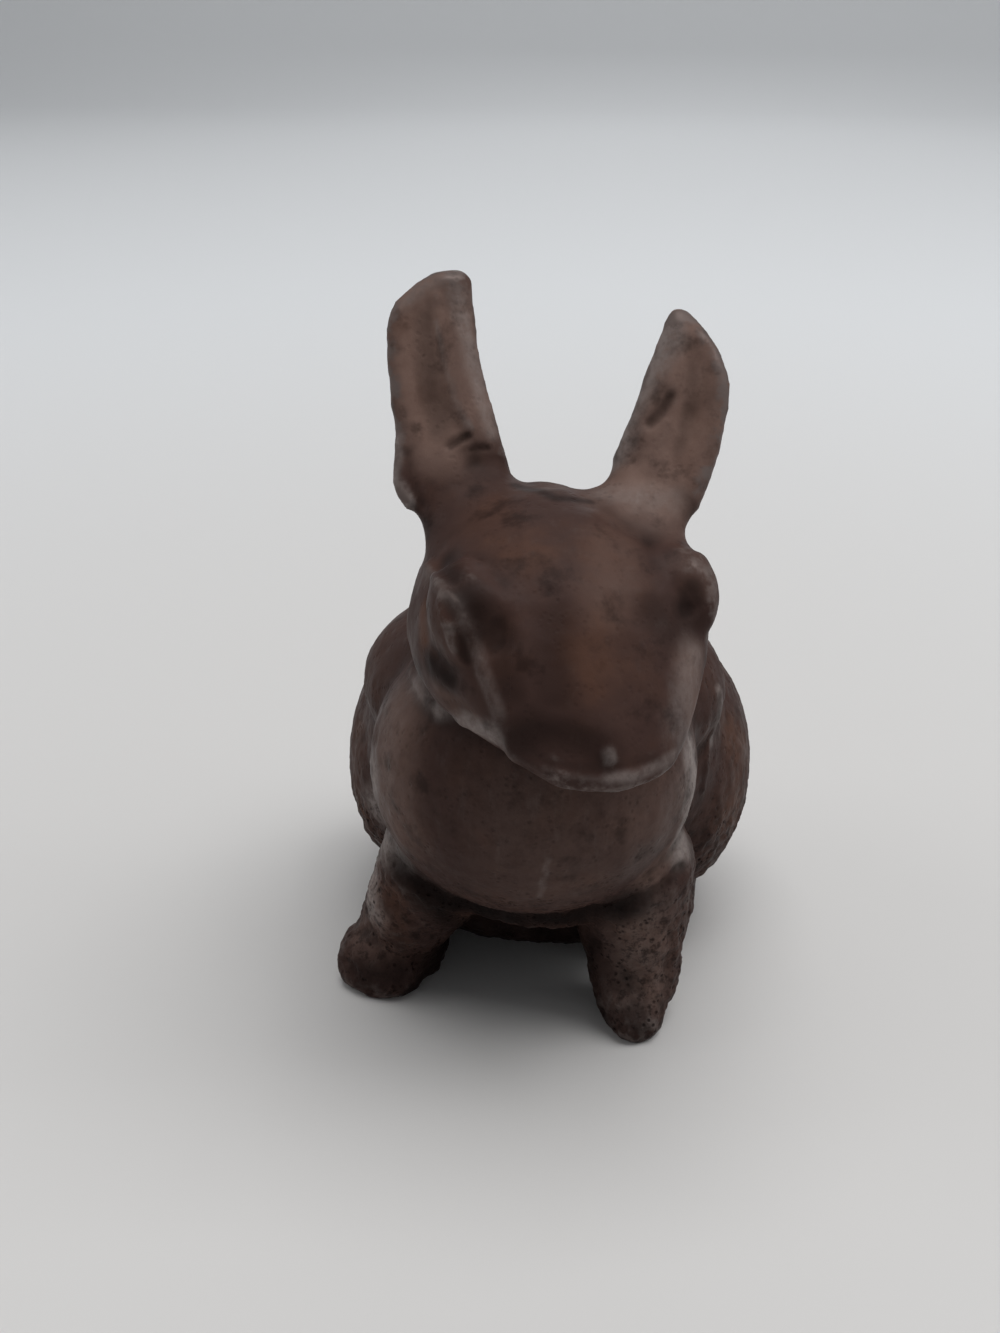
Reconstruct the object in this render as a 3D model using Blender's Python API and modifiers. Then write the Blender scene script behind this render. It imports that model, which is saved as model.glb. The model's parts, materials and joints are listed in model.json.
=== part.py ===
"""A cast iron rabbit figurine, built as two hollow castings that meet on an upright seam.

The rabbit faces -Y and stands on z = 0, and its left side is +X. Its head is turned to its left.
One tie screw passes through a column left inside both castings and is held by a square nut that
sits in a pocket in the right flank. All dimensions are in metres.
"""

import math

import bmesh
import bpy
from mathutils import Euler, Matrix, Vector

# Trunk: the round chest in front, the barrel and shoulders behind it, the low belly between the
# hind feet, a haunch on each side.
CHEST_WIDTH = 0.0415
CHEST_LENGTH = 0.038
CHEST_HEIGHT = 0.038
CHEST_UNDERSIDE = 0.0175
CHEST_FORWARD = 0.0095
BARREL_WIDTH = 0.051
BARREL_LENGTH = 0.056
BARREL_HEIGHT = 0.041
BARREL_UNDERSIDE = 0.0105
BARREL_BACKWARD = 0.012
BELLY_WIDTH = 0.036
BELLY_LENGTH = 0.038
BELLY_HEIGHT = 0.020
BELLY_UNDERSIDE = 0.0025
BELLY_SQUARENESS = 3.0
HAUNCH_SPAN = 0.0575
HAUNCH_WIDTH = 0.024
HAUNCH_LENGTH = 0.038
HAUNCH_HEIGHT = 0.036
HAUNCH_CENTRE_HEIGHT = 0.024
HAUNCH_BACKWARD = 0.016
TAIL_WIDTH = 0.013
TAIL_HEIGHT = 0.016
TAIL_CENTRE_HEIGHT = 0.021
SHOULDERS_WIDTH = 0.0485
SHOULDERS_LENGTH = 0.038
SHOULDERS_HEIGHT = 0.028
SHOULDERS_CENTRE_HEIGHT = 0.0409
SHOULDERS_BACKWARD = 0.0045
NECK_WIDTH = 0.031
NECK_LENGTH = 0.028
NECK_HEIGHT = 0.027
NECK_SIDEWAYS = 0.0016
NECK_BEHIND_HEAD = 0.0080
NECK_BELOW_HEAD = 0.0110

# Head, in its own frame: x to the rabbit's left, -y along the muzzle, z out of the crown.
HEAD_SIDEWAYS = 0.0035
HEAD_FORWARD = 0.0105
HEAD_ABOVE_CHEST = 0.0055
HEAD_TURN = math.radians(24)
HEAD_DIP = math.radians(26)
HEAD_WIDTH = 0.0335
HEAD_LENGTH = 0.0398
HEAD_RISE = 0.0117
HEAD_DROP = 0.0138
# Sections from the nape to the nose, as shares of length, width, rise and drop, and the
# squareness of the upper half.
HEAD_SECTIONS = (
    (0.427, 0.27, 0.34, 0.51, 2.0),
    (0.377, 0.54, 0.60, 0.76, 2.0),
    (0.276, 0.81, 0.81, 0.94, 2.0),
    (0.126, 0.97, 0.96, 1.00, 2.0),
    (-0.025, 1.00, 1.00, 0.93, 2.3),
    (-0.151, 0.96, 0.94, 0.78, 2.7),
    (-0.264, 0.85, 0.79, 0.61, 2.7),
    (-0.377, 0.69, 0.58, 0.45, 2.4),
    (-0.477, 0.54, 0.36, 0.32, 2.2),
    (-0.550, 0.40, 0.16, 0.22, 2.0),
    (-0.585, 0.22, -0.02, 0.12, 2.0),
)
WIDEST_SHARE = 0.42
CHEEK_SQUARENESS = 2.2
EYE_OUT = 0.0120
EYE_FORWARD = 0.0032
EYE_UP = 0.0063
EYE_BULGE_WIDTH = 0.0091
EYE_BULGE_LENGTH = 0.0134
EYE_BULGE_HEIGHT = 0.0096
# Fillings where the ears rise from the head: place, size and turn.
EAR_FOOTINGS = (
    ((-0.0080, 0.0124, 0.0039), (0.0112, 0.0088, 0.0066), (0.0, math.radians(-29), 0.0)),
    ((0.0102, 0.0068, 0.0071), (0.0080, 0.0110, 0.0064), (0.0, 0.0, math.radians(35))),
)

# Ears, from roots beside the crown. Their places count from the head's centre.
EAR_WIDTH = 0.0125
EAR_THICKNESS = 0.0065
EAR_DISH = 0.0016
DISH_SHIFT = 0.22
DISH_REACH = 0.70
EAR_TURN = math.radians(16)
RIGHT_EAR_LENGTH = 0.0302
RIGHT_EAR_ROOT = 0.0050
LEFT_EAR_LENGTH = 0.0270
LEFT_EAR_ROOT = 0.0045
# Sections from root to tip: share of the length, place sideways and backward, and shares of
# width, thickness and dish.
RIGHT_EAR_SECTIONS = (
    (0.000, -0.0095, 0.0040, 0.64, 1.10, 0.00),
    (0.100, -0.0108, 0.0062, 0.86, 1.15, 0.00),
    (0.225, -0.0127, 0.0088, 1.15, 1.12, 0.20),
    (0.397, -0.0137, 0.0110, 1.00, 0.98, 0.80),
    (0.543, -0.0149, 0.0123, 0.96, 0.92, 1.00),
    (0.682, -0.0158, 0.0137, 0.90, 0.85, 0.93),
    (0.821, -0.0163, 0.0152, 0.86, 0.77, 0.73),
    (0.887, -0.0160, 0.0160, 0.78, 0.71, 0.50),
    (0.954, -0.0148, 0.0166, 0.58, 0.65, 0.20),
    (1.000, -0.0140, 0.0170, 0.30, 0.55, 0.00),
)
LEFT_EAR_SECTIONS = (
    (0.000, 0.0080, 0.0045, 0.62, 1.10, 0.00),
    (0.132, 0.0088, 0.0065, 0.86, 1.15, 0.00),
    (0.283, 0.0099, 0.0092, 1.02, 1.12, 0.20),
    (0.453, 0.0117, 0.0115, 0.98, 0.95, 0.80),
    (0.615, 0.0129, 0.0132, 0.90, 0.88, 1.00),
    (0.736, 0.0133, 0.0144, 0.82, 0.82, 0.93),
    (0.838, 0.0133, 0.0155, 0.64, 0.74, 0.73),
    (0.925, 0.0127, 0.0164, 0.42, 0.62, 0.40),
    (1.000, 0.0119, 0.0172, 0.16, 0.42, 0.00),
)

# Legs and feet: the right fore paw is set out to the side, the left one forward.
SHOULDER_RADIUS = 0.0084
RIGHT_SHOULDER_OUT = 0.0114
LEFT_SHOULDER_OUT = 0.0128
SHOULDER_ABOVE_CHEST = 0.0050
BRISKET_SIDEWAYS = 0.0008
BRISKET_WIDTH = 0.0230
BRISKET_LENGTH = 0.0160
BRISKET_HEIGHT = 0.0080
BRISKET_BELOW_CHEST = 0.0034
RIGHT_ANKLE_RADIUS = 0.0061
LEFT_ANKLE_RADIUS = 0.0057
ANKLE_HEIGHT = 0.0080
RIGHT_ANKLE_OUT = 0.0180
RIGHT_ANKLE_FORWARD = 0.0050
LEFT_ANKLE_OUT = 0.0144
LEFT_ANKLE_FORWARD = 0.0098
PAW_WIDTH = 0.0125
PAW_LENGTH = 0.0165
PAW_HEIGHT = 0.0095
PAW_SPLAY = math.radians(-25)
PAW_OUT = 0.0016
TOE_RADIUS = 0.0037
TOE_REACH = 0.0050
HIND_FOOT_WIDTH = 0.011
HIND_FOOT_LENGTH = 0.034
HIND_FOOT_HEIGHT = 0.012
HIND_FOOT_SPAN = 0.044
SOLE_DEPTH = 0.0015

# Hollows worked into the skin, and swellings where the depth is negative. The first ones count
# in the head's frame, the others from the head's centre along the part's axes.
CHEEK_HOLLOW_SIZE = (0.0080, 0.0090, 0.0060)
EYE_HOLLOW_SIZE = (0.0080, 0.0090, 0.0100)
FACE_HOLLOWS = (
    ((0.0116, -0.0078, 0.0092), EYE_HOLLOW_SIZE, 0.0011),
    ((-0.0116, -0.0078, 0.0092), EYE_HOLLOW_SIZE, 0.0011),
    ((0.0145, -0.0110, -0.0010), CHEEK_HOLLOW_SIZE, 0.0006),
    ((-0.0145, -0.0110, -0.0010), CHEEK_HOLLOW_SIZE, 0.0006),
    ((0.0, -0.0228, -0.0005), (0.0070, 0.0060, 0.0050), -0.0006),
)
EAR_HOLLOWS = (
    ((-0.0100, 0.0075, 0.0155), (0.0060, 0.0080, 0.0050), 0.0009),
    ((0.0070, 0.0080, 0.0170), (0.0050, 0.0080, 0.0070), 0.0009),
)

# Casting: wall, seam, and the columns and bosses left standing in the hollow.
WALL = 0.0038
SEAM_GAP = 0.0003
FIT = 0.0003
COLUMN_RADIUS = 0.0072
HEAD_HOLLOW_WIDTH = 0.0225
HEAD_HOLLOW_LENGTH = 0.0260
HEAD_HOLLOW_HEIGHT = 0.0165
PEG_RADIUS = 0.0015
PEG_LENGTH = 0.0020
PEG_BOSS_RADIUS = 0.0034
PEG_BOSS_LENGTH = 0.014
PEG_SUNK = 0.0005

# Tie screw and square nut, both sunk in the flanks.
TIE_BEHIND_HAUNCH = 0.005
TIE_BELOW_HAUNCH = 0.003
SEAT_SUNK = 0.00515
SHANK_DIAMETER = 0.004
SCREW_HEAD_DIAMETER = 0.0082
SCREW_HEAD_HEIGHT = 0.0026
SCREW_HEAD_RIM = 0.0006
SLOT_WIDTH = 0.0012
SLOT_DEPTH = 0.0013
SCREW_END = 0.0005
TIP_CHAMFER = 0.0005
COUNTERBORE_CLEARANCE = 0.0006
NUT_FLATS = 0.0070
NUT_THICKNESS = 0.0032
NUT_CHAMFER = 0.0004
NUT_CLEARANCE = 0.0004

# Places that follow from the sizes above.
CHEST_CENTRE = Vector((0, -CHEST_FORWARD, CHEST_UNDERSIDE + CHEST_HEIGHT / 2))
BARREL_CENTRE = Vector((0, BARREL_BACKWARD, BARREL_UNDERSIDE + BARREL_HEIGHT / 2))
BELLY_CENTRE = Vector((0, BARREL_BACKWARD, BELLY_UNDERSIDE + BELLY_HEIGHT / 2))
HAUNCH_OUT = (HAUNCH_SPAN - HAUNCH_WIDTH) / 2
HEAD_CENTRE = Vector((
    HEAD_SIDEWAYS,
    -CHEST_FORWARD - HEAD_FORWARD,
    CHEST_UNDERSIDE + CHEST_HEIGHT + HEAD_ABOVE_CHEST))
NECK_CENTRE = Vector((
    NECK_SIDEWAYS,
    HEAD_CENTRE.y + NECK_BEHIND_HEAD,
    HEAD_CENTRE.z - NECK_BELOW_HEAD))
TIE_BACK = HAUNCH_BACKWARD + TIE_BEHIND_HAUNCH
TIE_HEIGHT = HAUNCH_CENTRE_HEIGHT - TIE_BELOW_HAUNCH
SEAT_OUT = HAUNCH_SPAN / 2 - SEAT_SUNK
SCREW_HEAD_UNDERSIDE = SEAT_OUT + FIT
SCREW_TIP_OUT = SEAT_OUT + FIT + NUT_THICKNESS + SCREW_END
FRONT_PEG = (-CHEST_FORWARD - CHEST_LENGTH / 2 + WALL + PEG_SUNK, CHEST_UNDERSIDE + CHEST_HEIGHT / 2)
REAR_PEG = (BARREL_BACKWARD + BARREL_LENGTH / 2 - PEG_SUNK, TAIL_CENTRE_HEIGHT)

# Mesh steps.
SKIN_STEP = 0.0007
SKIN_SMOOTHING = 12
SKIN_TRIANGLES = 8200
CORE_STEP = 0.0016
CORE_SMOOTHING = 4
CORE_TRIANGLES = 1500
HEAD_STEPS = 6
TURNS = 32
PEG_SIDES = 20
FAR = 0.2


def ball(bm, centre, size, turn=(0.0, 0.0, 0.0), frame=None, squareness=2.0):
    """Adds an ellipsoid of full size (width, length, height); squareness above 2 makes it boxier."""
    made = bmesh.ops.create_uvsphere(bm, u_segments=28, v_segments=18, radius=1)
    matrix = Matrix.Translation(centre) @ Euler(turn).to_matrix().to_4x4()
    matrix = matrix @ Matrix.Diagonal((size[0] / 2, size[1] / 2, size[2] / 2, 1))
    if frame is not None:
        matrix = frame @ matrix
    for vertex in made["verts"]:
        norm = sum(abs(c) ** squareness for c in vertex.co) ** (1 / squareness)
        vertex.co = matrix @ (vertex.co / norm)


def limb(bm, start, end, start_radius, end_radius):
    """Adds a tapered limb with round ends between two points."""
    start, end = Vector(start), Vector(end)
    along = end - start
    for point, radius in ((start, start_radius), (end, end_radius)):
        ball(bm, point, (2 * radius, 2 * radius, 2 * radius))
    matrix = Matrix.Translation((start + end) / 2) @ along.to_track_quat("Z", "Y").to_matrix().to_4x4()
    bmesh.ops.create_cone(
        bm, cap_ends=True, segments=24, radius1=start_radius, radius2=end_radius,
        depth=along.length, matrix=matrix)


def loft(bm, rings):
    """Skins a closed body over rings that have the same number of points."""
    loops = [[bm.verts.new(point) for point in ring] for ring in rings]
    count = len(loops[0])
    for lower, upper in zip(loops, loops[1:]):
        for i in range(count):
            j = (i + 1) % count
            bm.faces.new((lower[i], lower[j], upper[j], upper[i]))
    bm.faces.new(list(reversed(loops[0])))
    bm.faces.new(loops[-1])


def add_trunk(bm):
    """Adds chest, barrel, belly, haunches, tail, shoulders and neck."""
    ball(bm, CHEST_CENTRE, (CHEST_WIDTH, CHEST_LENGTH, CHEST_HEIGHT))
    ball(bm, BARREL_CENTRE, (BARREL_WIDTH, BARREL_LENGTH, BARREL_HEIGHT))
    ball(bm, BELLY_CENTRE, (BELLY_WIDTH, BELLY_LENGTH, BELLY_HEIGHT), squareness=BELLY_SQUARENESS)
    for side in (-1, 1):
        ball(bm, (side * HAUNCH_OUT, HAUNCH_BACKWARD, HAUNCH_CENTRE_HEIGHT),
             (HAUNCH_WIDTH, HAUNCH_LENGTH, HAUNCH_HEIGHT))
    tail = (0, BARREL_BACKWARD + BARREL_LENGTH / 2, TAIL_CENTRE_HEIGHT)
    ball(bm, tail, (TAIL_WIDTH, TAIL_WIDTH, TAIL_HEIGHT))
    shoulders = (0, SHOULDERS_BACKWARD, SHOULDERS_CENTRE_HEIGHT)
    ball(bm, shoulders, (SHOULDERS_WIDTH, SHOULDERS_LENGTH, SHOULDERS_HEIGHT))
    ball(bm, NECK_CENTRE, (NECK_WIDTH, NECK_LENGTH, NECK_HEIGHT))


def head_frame():
    """The matrix from the head's own frame to the part's frame."""
    turn = Matrix.Rotation(HEAD_TURN, 4, "Z")
    dip = Matrix.Rotation(HEAD_DIP, 4, "X")
    return Matrix.Translation(HEAD_CENTRE) @ turn @ dip


def head_ring(along, width_share, rise_share, drop_share, squareness_above):
    """One section of the head: rounded above, and squarer below where the cheeks hang."""
    points = []
    count = 36
    top = HEAD_RISE * rise_share
    underside = -HEAD_DROP * drop_share
    middle = underside + WIDEST_SHARE * (top - underside)
    for i in range(count):
        angle = 2 * math.pi * i / count
        across, up = math.cos(angle), math.sin(angle)
        squareness = squareness_above if up > 0 else CHEEK_SQUARENESS
        norm = (abs(across) ** squareness + abs(up) ** squareness) ** (1 / squareness)
        reach = top - middle if up > 0 else middle - underside
        points.append(Vector((
            across / norm * HEAD_WIDTH * width_share / 2,
            along * HEAD_LENGTH,
            middle + up / norm * reach)))
    return points


def add_head(bm):
    """Adds the wedge-shaped head, the two eye bulges and the footings of the ears."""
    frame = head_frame()
    loft(bm, [[frame @ point for point in head_ring(*section)] for section in HEAD_SECTIONS])
    for side in (-1, 1):
        ball(bm, (side * EYE_OUT, -EYE_FORWARD, EYE_UP),
             (EYE_BULGE_WIDTH, EYE_BULGE_LENGTH, EYE_BULGE_HEIGHT), frame=frame)
    for place, size, turn in EAR_FOOTINGS:
        ball(bm, place, size, turn, frame)


def ear_ring(centre, width, thickness, turn, dish, outer_side):
    """One section of an ear: an oval whose front is dished, a little towards its outer edge."""
    points = []
    count = 28
    for i in range(count):
        angle = 2 * math.pi * i / count
        across = math.cos(angle)
        depth = math.sin(angle) * thickness / 2
        if depth < 0:
            reach = (across - DISH_SHIFT * outer_side) / DISH_REACH
            depth += dish * max(0.0, 1 - reach * reach) ** 1.5
        point = Vector((across * width / 2, depth, 0))
        point.rotate(Euler((0, 0, turn)))
        points.append(Vector(centre) + point)
    return points


def add_ear(bm, sections, length, root, side):
    """Adds one ear over its sections."""
    rings = []
    for share, sideways, backward, width, thickness, dish in sections:
        centre = HEAD_CENTRE + Vector((sideways, backward, root + share * length))
        rings.append(ear_ring(
            centre, EAR_WIDTH * width, EAR_THICKNESS * thickness, -side * EAR_TURN, EAR_DISH * dish, side))
    loft(bm, rings)


def add_legs(bm):
    """Adds the fore legs with their paws, the brisket between them, and the hind feet."""
    shoulder_height = CHEST_UNDERSIDE + SHOULDER_ABOVE_CHEST
    limb(bm, (-RIGHT_SHOULDER_OUT, -CHEST_FORWARD, shoulder_height),
         (-RIGHT_ANKLE_OUT, -RIGHT_ANKLE_FORWARD, ANKLE_HEIGHT), SHOULDER_RADIUS, RIGHT_ANKLE_RADIUS)
    ball(bm, (-RIGHT_ANKLE_OUT - PAW_OUT, -RIGHT_ANKLE_FORWARD, PAW_HEIGHT / 2 - SOLE_DEPTH),
         (PAW_WIDTH, PAW_LENGTH, PAW_HEIGHT), (0, 0, PAW_SPLAY), squareness=3.0)
    limb(bm, (LEFT_SHOULDER_OUT, -CHEST_FORWARD, shoulder_height),
         (LEFT_ANKLE_OUT, -LEFT_ANKLE_FORWARD, ANKLE_HEIGHT), SHOULDER_RADIUS, LEFT_ANKLE_RADIUS)
    limb(bm, (LEFT_ANKLE_OUT, -LEFT_ANKLE_FORWARD, ANKLE_HEIGHT - SOLE_DEPTH),
         (LEFT_ANKLE_OUT, -LEFT_ANKLE_FORWARD - TOE_REACH, TOE_RADIUS - SOLE_DEPTH), LEFT_ANKLE_RADIUS, TOE_RADIUS)
    brisket_height = CHEST_UNDERSIDE - BRISKET_BELOW_CHEST + BRISKET_HEIGHT / 2
    ball(bm, (BRISKET_SIDEWAYS, -CHEST_FORWARD, brisket_height), (BRISKET_WIDTH, BRISKET_LENGTH, BRISKET_HEIGHT))
    for side in (-1, 1):
        ball(bm, (side * (HIND_FOOT_SPAN - HIND_FOOT_WIDTH) / 2, HAUNCH_BACKWARD,
                  HIND_FOOT_HEIGHT / 2 - SOLE_DEPTH),
             (HIND_FOOT_WIDTH, HIND_FOOT_LENGTH, HIND_FOOT_HEIGHT), squareness=2.5)


def new_object(name, mesh, collection):
    """Links a mesh as a named object."""
    obj = bpy.data.objects.new(name, mesh)
    collection.objects.link(obj)
    return obj


def object_from(bm, name, collection):
    """Turns a bmesh into a linked object."""
    mesh = bpy.data.meshes.new(name)
    bm.to_mesh(mesh)
    bm.free()
    return new_object(name, mesh, collection)


def settle(obj):
    """Replaces an object's mesh by the mesh that its modifiers make."""
    graph = bpy.context.evaluated_depsgraph_get()
    made = bpy.data.meshes.new_from_object(obj.evaluated_get(graph))
    made.name = obj.name
    obj.modifiers.clear()
    obj.data = made


def skin(obj, step, smoothing):
    """Fuses overlapping closed bodies to one skin and eases the joins."""
    remesh = obj.modifiers.new("Skin", "REMESH")
    remesh.mode = "VOXEL"
    remesh.voxel_size = step
    smooth = obj.modifiers.new("Blend", "SMOOTH")
    smooth.factor = 0.5
    smooth.iterations = smoothing
    settle(obj)


def thin_out(obj, triangles):
    """Reduces a skin to about the given number of triangles."""
    obj.data.calc_loop_triangles()
    decimate = obj.modifiers.new("Thin", "DECIMATE")
    decimate.ratio = triangles / len(obj.data.loop_triangles)
    decimate.use_collapse_triangulate = True
    settle(obj)


def work_hollows(obj, hollows, frame):
    """Presses hollows into the skin along its normals, or raises swellings."""
    normals = [vertex.normal.copy() for vertex in obj.data.vertices]
    for centre, size, depth in hollows:
        place = frame @ Matrix.Translation(centre) @ Matrix.Diagonal((*(s / 2 for s in size), 1))
        inverse = place.inverted()
        for vertex, normal in zip(obj.data.vertices, normals):
            distance = (inverse @ vertex.co).length_squared
            if distance < 1:
                vertex.co -= normal * depth * (1 - distance) ** 2


def figure(guides):
    """The whole outer form as one closed skin."""
    bm = bmesh.new()
    add_trunk(bm)
    add_legs(bm)
    add_head(bm)
    add_ear(bm, RIGHT_EAR_SECTIONS, RIGHT_EAR_LENGTH, RIGHT_EAR_ROOT, -1)
    add_ear(bm, LEFT_EAR_SECTIONS, LEFT_EAR_LENGTH, LEFT_EAR_ROOT, 1)
    obj = object_from(bm, "figure", guides)
    skin(obj, SKIN_STEP, SKIN_SMOOTHING)
    work_hollows(obj, FACE_HOLLOWS, head_frame())
    work_hollows(obj, EAR_HOLLOWS, Matrix.Translation(HEAD_CENTRE))
    return obj


def rod(bm, start, end, radius, segments=TURNS):
    """Adds a cylinder between two points that differ in x only."""
    length = abs(end[0] - start[0])
    centre = (Vector(start) + Vector(end)) / 2
    matrix = Matrix.Translation(centre) @ Matrix.Rotation(math.pi / 2, 4, "Y")
    bmesh.ops.create_cone(
        bm, cap_ends=True, segments=segments, radius1=radius, radius2=radius, depth=length, matrix=matrix)


def block(bm, low, high):
    """Adds a box between two corners."""
    size = [b - a for a, b in zip(low, high)]
    centre = [(a + b) / 2 for a, b in zip(low, high)]
    bmesh.ops.create_cube(bm, size=1, matrix=Matrix.Translation(centre) @ Matrix.Diagonal((*size, 1)))


def boolean(obj, cutter, operation):
    """Applies one exact Boolean."""
    modifier = obj.modifiers.new(operation.title(), "BOOLEAN")
    modifier.solver = "EXACT"
    modifier.operation = operation
    modifier.object = cutter
    settle(obj)


def cut_rod(obj, start, end, radius, name, guides, operation="DIFFERENCE", segments=TURNS):
    """Cuts a cylinder along x out of a piece, or joins it on; start and end are x values."""
    (near, far), (back, height) = start, end
    bm = bmesh.new()
    rod(bm, (near, back, height), (far, back, height), radius, segments)
    boolean(obj, object_from(bm, name, guides), operation)


def core(guides):
    """The sand core's form: the hollow inside both castings, less the columns left in it."""
    bm = bmesh.new()
    shrink = 2 * WALL
    ball(bm, CHEST_CENTRE, (CHEST_WIDTH - shrink, CHEST_LENGTH - shrink, CHEST_HEIGHT - shrink))
    ball(bm, BARREL_CENTRE, (BARREL_WIDTH - shrink, BARREL_LENGTH - shrink, BARREL_HEIGHT - shrink))
    ball(bm, BELLY_CENTRE, (BELLY_WIDTH - shrink, BELLY_LENGTH - shrink, BELLY_HEIGHT - shrink),
         squareness=BELLY_SQUARENESS)
    for side in (-1, 1):
        ball(bm, (side * HAUNCH_OUT, HAUNCH_BACKWARD, HAUNCH_CENTRE_HEIGHT),
             (HAUNCH_WIDTH - shrink, HAUNCH_LENGTH - shrink, HAUNCH_HEIGHT - shrink))
    shoulders = (0, SHOULDERS_BACKWARD, SHOULDERS_CENTRE_HEIGHT)
    ball(bm, shoulders, (SHOULDERS_WIDTH - shrink, SHOULDERS_LENGTH - shrink, SHOULDERS_HEIGHT - shrink))
    ball(bm, NECK_CENTRE, (NECK_WIDTH - shrink, NECK_LENGTH - shrink, NECK_HEIGHT))
    ball(bm, (0, 0, 0), (HEAD_HOLLOW_WIDTH, HEAD_HOLLOW_LENGTH, HEAD_HOLLOW_HEIGHT), frame=head_frame())
    obj = object_from(bm, "core", guides)
    skin(obj, CORE_STEP, CORE_SMOOTHING)
    thin_out(obj, CORE_TRIANGLES)
    cut_rod(obj, (-FAR / 2, FAR / 2), (TIE_BACK, TIE_HEIGHT), COLUMN_RADIUS, "tie_column", guides)
    boss = (-PEG_BOSS_LENGTH / 2, PEG_BOSS_LENGTH / 2)
    cut_rod(obj, boss, FRONT_PEG, PEG_BOSS_RADIUS, "peg_boss", guides)
    return obj


def half_of(whole, hollow, side, name, collection, guides):
    """One casting: the figure on one side of the seam, cut level below, hollowed and drilled."""
    obj = new_object(name, whole.data.copy(), collection)
    near, far = side * SEAM_GAP / 2, side * FAR / 2
    bm = bmesh.new()
    block(bm, (min(near, far), -FAR / 2, 0), (max(near, far), FAR / 2, FAR))
    boolean(obj, object_from(bm, name + "_space", guides), "INTERSECT")
    boolean(obj, hollow, "DIFFERENCE")
    hole = SHANK_DIAMETER / 2 + FIT
    cut_rod(obj, (-FAR / 2, FAR / 2), (TIE_BACK, TIE_HEIGHT), hole, name + "_tie_hole", guides)
    return obj


def left_half(whole, hollow, collection, guides):
    """The left casting, with the screw head's counterbore and the peg sockets."""
    obj = half_of(whole, hollow, 1, "left_half_casting", collection, guides)
    counterbore = SCREW_HEAD_DIAMETER / 2 + COUNTERBORE_CLEARANCE
    cut_rod(obj, (SEAT_OUT, FAR / 2), (TIE_BACK, TIE_HEIGHT), counterbore, "counterbore", guides)
    socket = (-SEAM_GAP, PEG_LENGTH + FIT)
    for name, place in (("front_socket", FRONT_PEG), ("rear_socket", REAR_PEG)):
        cut_rod(obj, socket, place, PEG_RADIUS + FIT, name, guides, segments=PEG_SIDES)
    return obj


def right_half(whole, hollow, collection, guides):
    """The right casting, with the nut's pocket and the register pegs."""
    obj = half_of(whole, hollow, -1, "right_half_casting", collection, guides)
    reach = NUT_FLATS / 2 + NUT_CLEARANCE
    bm = bmesh.new()
    block(bm, (-FAR / 2, TIE_BACK - reach, TIE_HEIGHT - reach),
          (-SEAT_OUT, TIE_BACK + reach, TIE_HEIGHT + reach))
    boolean(obj, object_from(bm, "nut_pocket", guides), "DIFFERENCE")
    peg = (-PEG_LENGTH, PEG_LENGTH)
    for name, place in (("front_peg", FRONT_PEG), ("rear_peg", REAR_PEG)):
        cut_rod(obj, peg, place, PEG_RADIUS, name, guides, "UNION", PEG_SIDES)
    return obj


def turned(profile, name, collection):
    """Spins an (outward, along) profile, listed from its top down, round the tie axis."""
    bm = bmesh.new()
    points = [bm.verts.new((outward, 0, along)) for outward, along in profile]
    for first, second in zip(points, points[1:]):
        bm.edges.new((first, second))
    obj = object_from(bm, name, collection)
    obj.location = (0, TIE_BACK, TIE_HEIGHT)
    obj.rotation_euler = (0, math.pi / 2, 0)
    spin = obj.modifiers.new("Turn", "SCREW")
    spin.steps = TURNS
    spin.render_steps = TURNS
    spin.use_merge_vertices = True
    spin.merge_threshold = 0.00002
    settle(obj)
    return obj


def screw_profile():
    """The screw's outline from the crown of its head to its chamfered tip."""
    under = SCREW_HEAD_UNDERSIDE
    radius = SCREW_HEAD_DIAMETER / 2
    shank = SHANK_DIAMETER / 2
    dome = SCREW_HEAD_HEIGHT - SCREW_HEAD_RIM
    profile = [(0, under + SCREW_HEAD_HEIGHT)]
    for step in range(1, HEAD_STEPS + 1):
        angle = math.pi / 2 * step / HEAD_STEPS
        profile.append((radius * math.sin(angle), under + SCREW_HEAD_RIM + dome * math.cos(angle)))
    profile += [(radius, under), (shank, under), (shank, -SCREW_TIP_OUT + TIP_CHAMFER)]
    profile += [(shank - TIP_CHAMFER, -SCREW_TIP_OUT), (0, -SCREW_TIP_OUT)]
    return profile


def tie_screw(collection, guides):
    """The slotted round-head screw that draws the castings together."""
    obj = turned(screw_profile(), "tie_screw", collection)
    top = SCREW_HEAD_UNDERSIDE + SCREW_HEAD_HEIGHT
    bm = bmesh.new()
    block(bm, (top - SLOT_DEPTH, TIE_BACK - SCREW_HEAD_DIAMETER, TIE_HEIGHT - SLOT_WIDTH / 2),
          (top + SLOT_DEPTH, TIE_BACK + SCREW_HEAD_DIAMETER, TIE_HEIGHT + SLOT_WIDTH / 2))
    boolean(obj, object_from(bm, "driver_slot", guides), "DIFFERENCE")
    return obj


def square_nut(collection, guides):
    """The square nut in the right flank."""
    bm = bmesh.new()
    reach = NUT_FLATS / 2
    inner = SEAT_OUT + FIT
    block(bm, (-inner - NUT_THICKNESS, TIE_BACK - reach, TIE_HEIGHT - reach),
          (-inner, TIE_BACK + reach, TIE_HEIGHT + reach))
    bmesh.ops.bevel(bm, geom=bm.edges[:], offset=NUT_CHAMFER, segments=1, affect="EDGES")
    obj = object_from(bm, "square_nut", collection)
    hole = SHANK_DIAMETER / 2 + FIT
    cut_rod(obj, (-FAR / 2, FAR / 2), (TIE_BACK, TIE_HEIGHT), hole, "nut_thread_hole", guides)
    return obj


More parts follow.
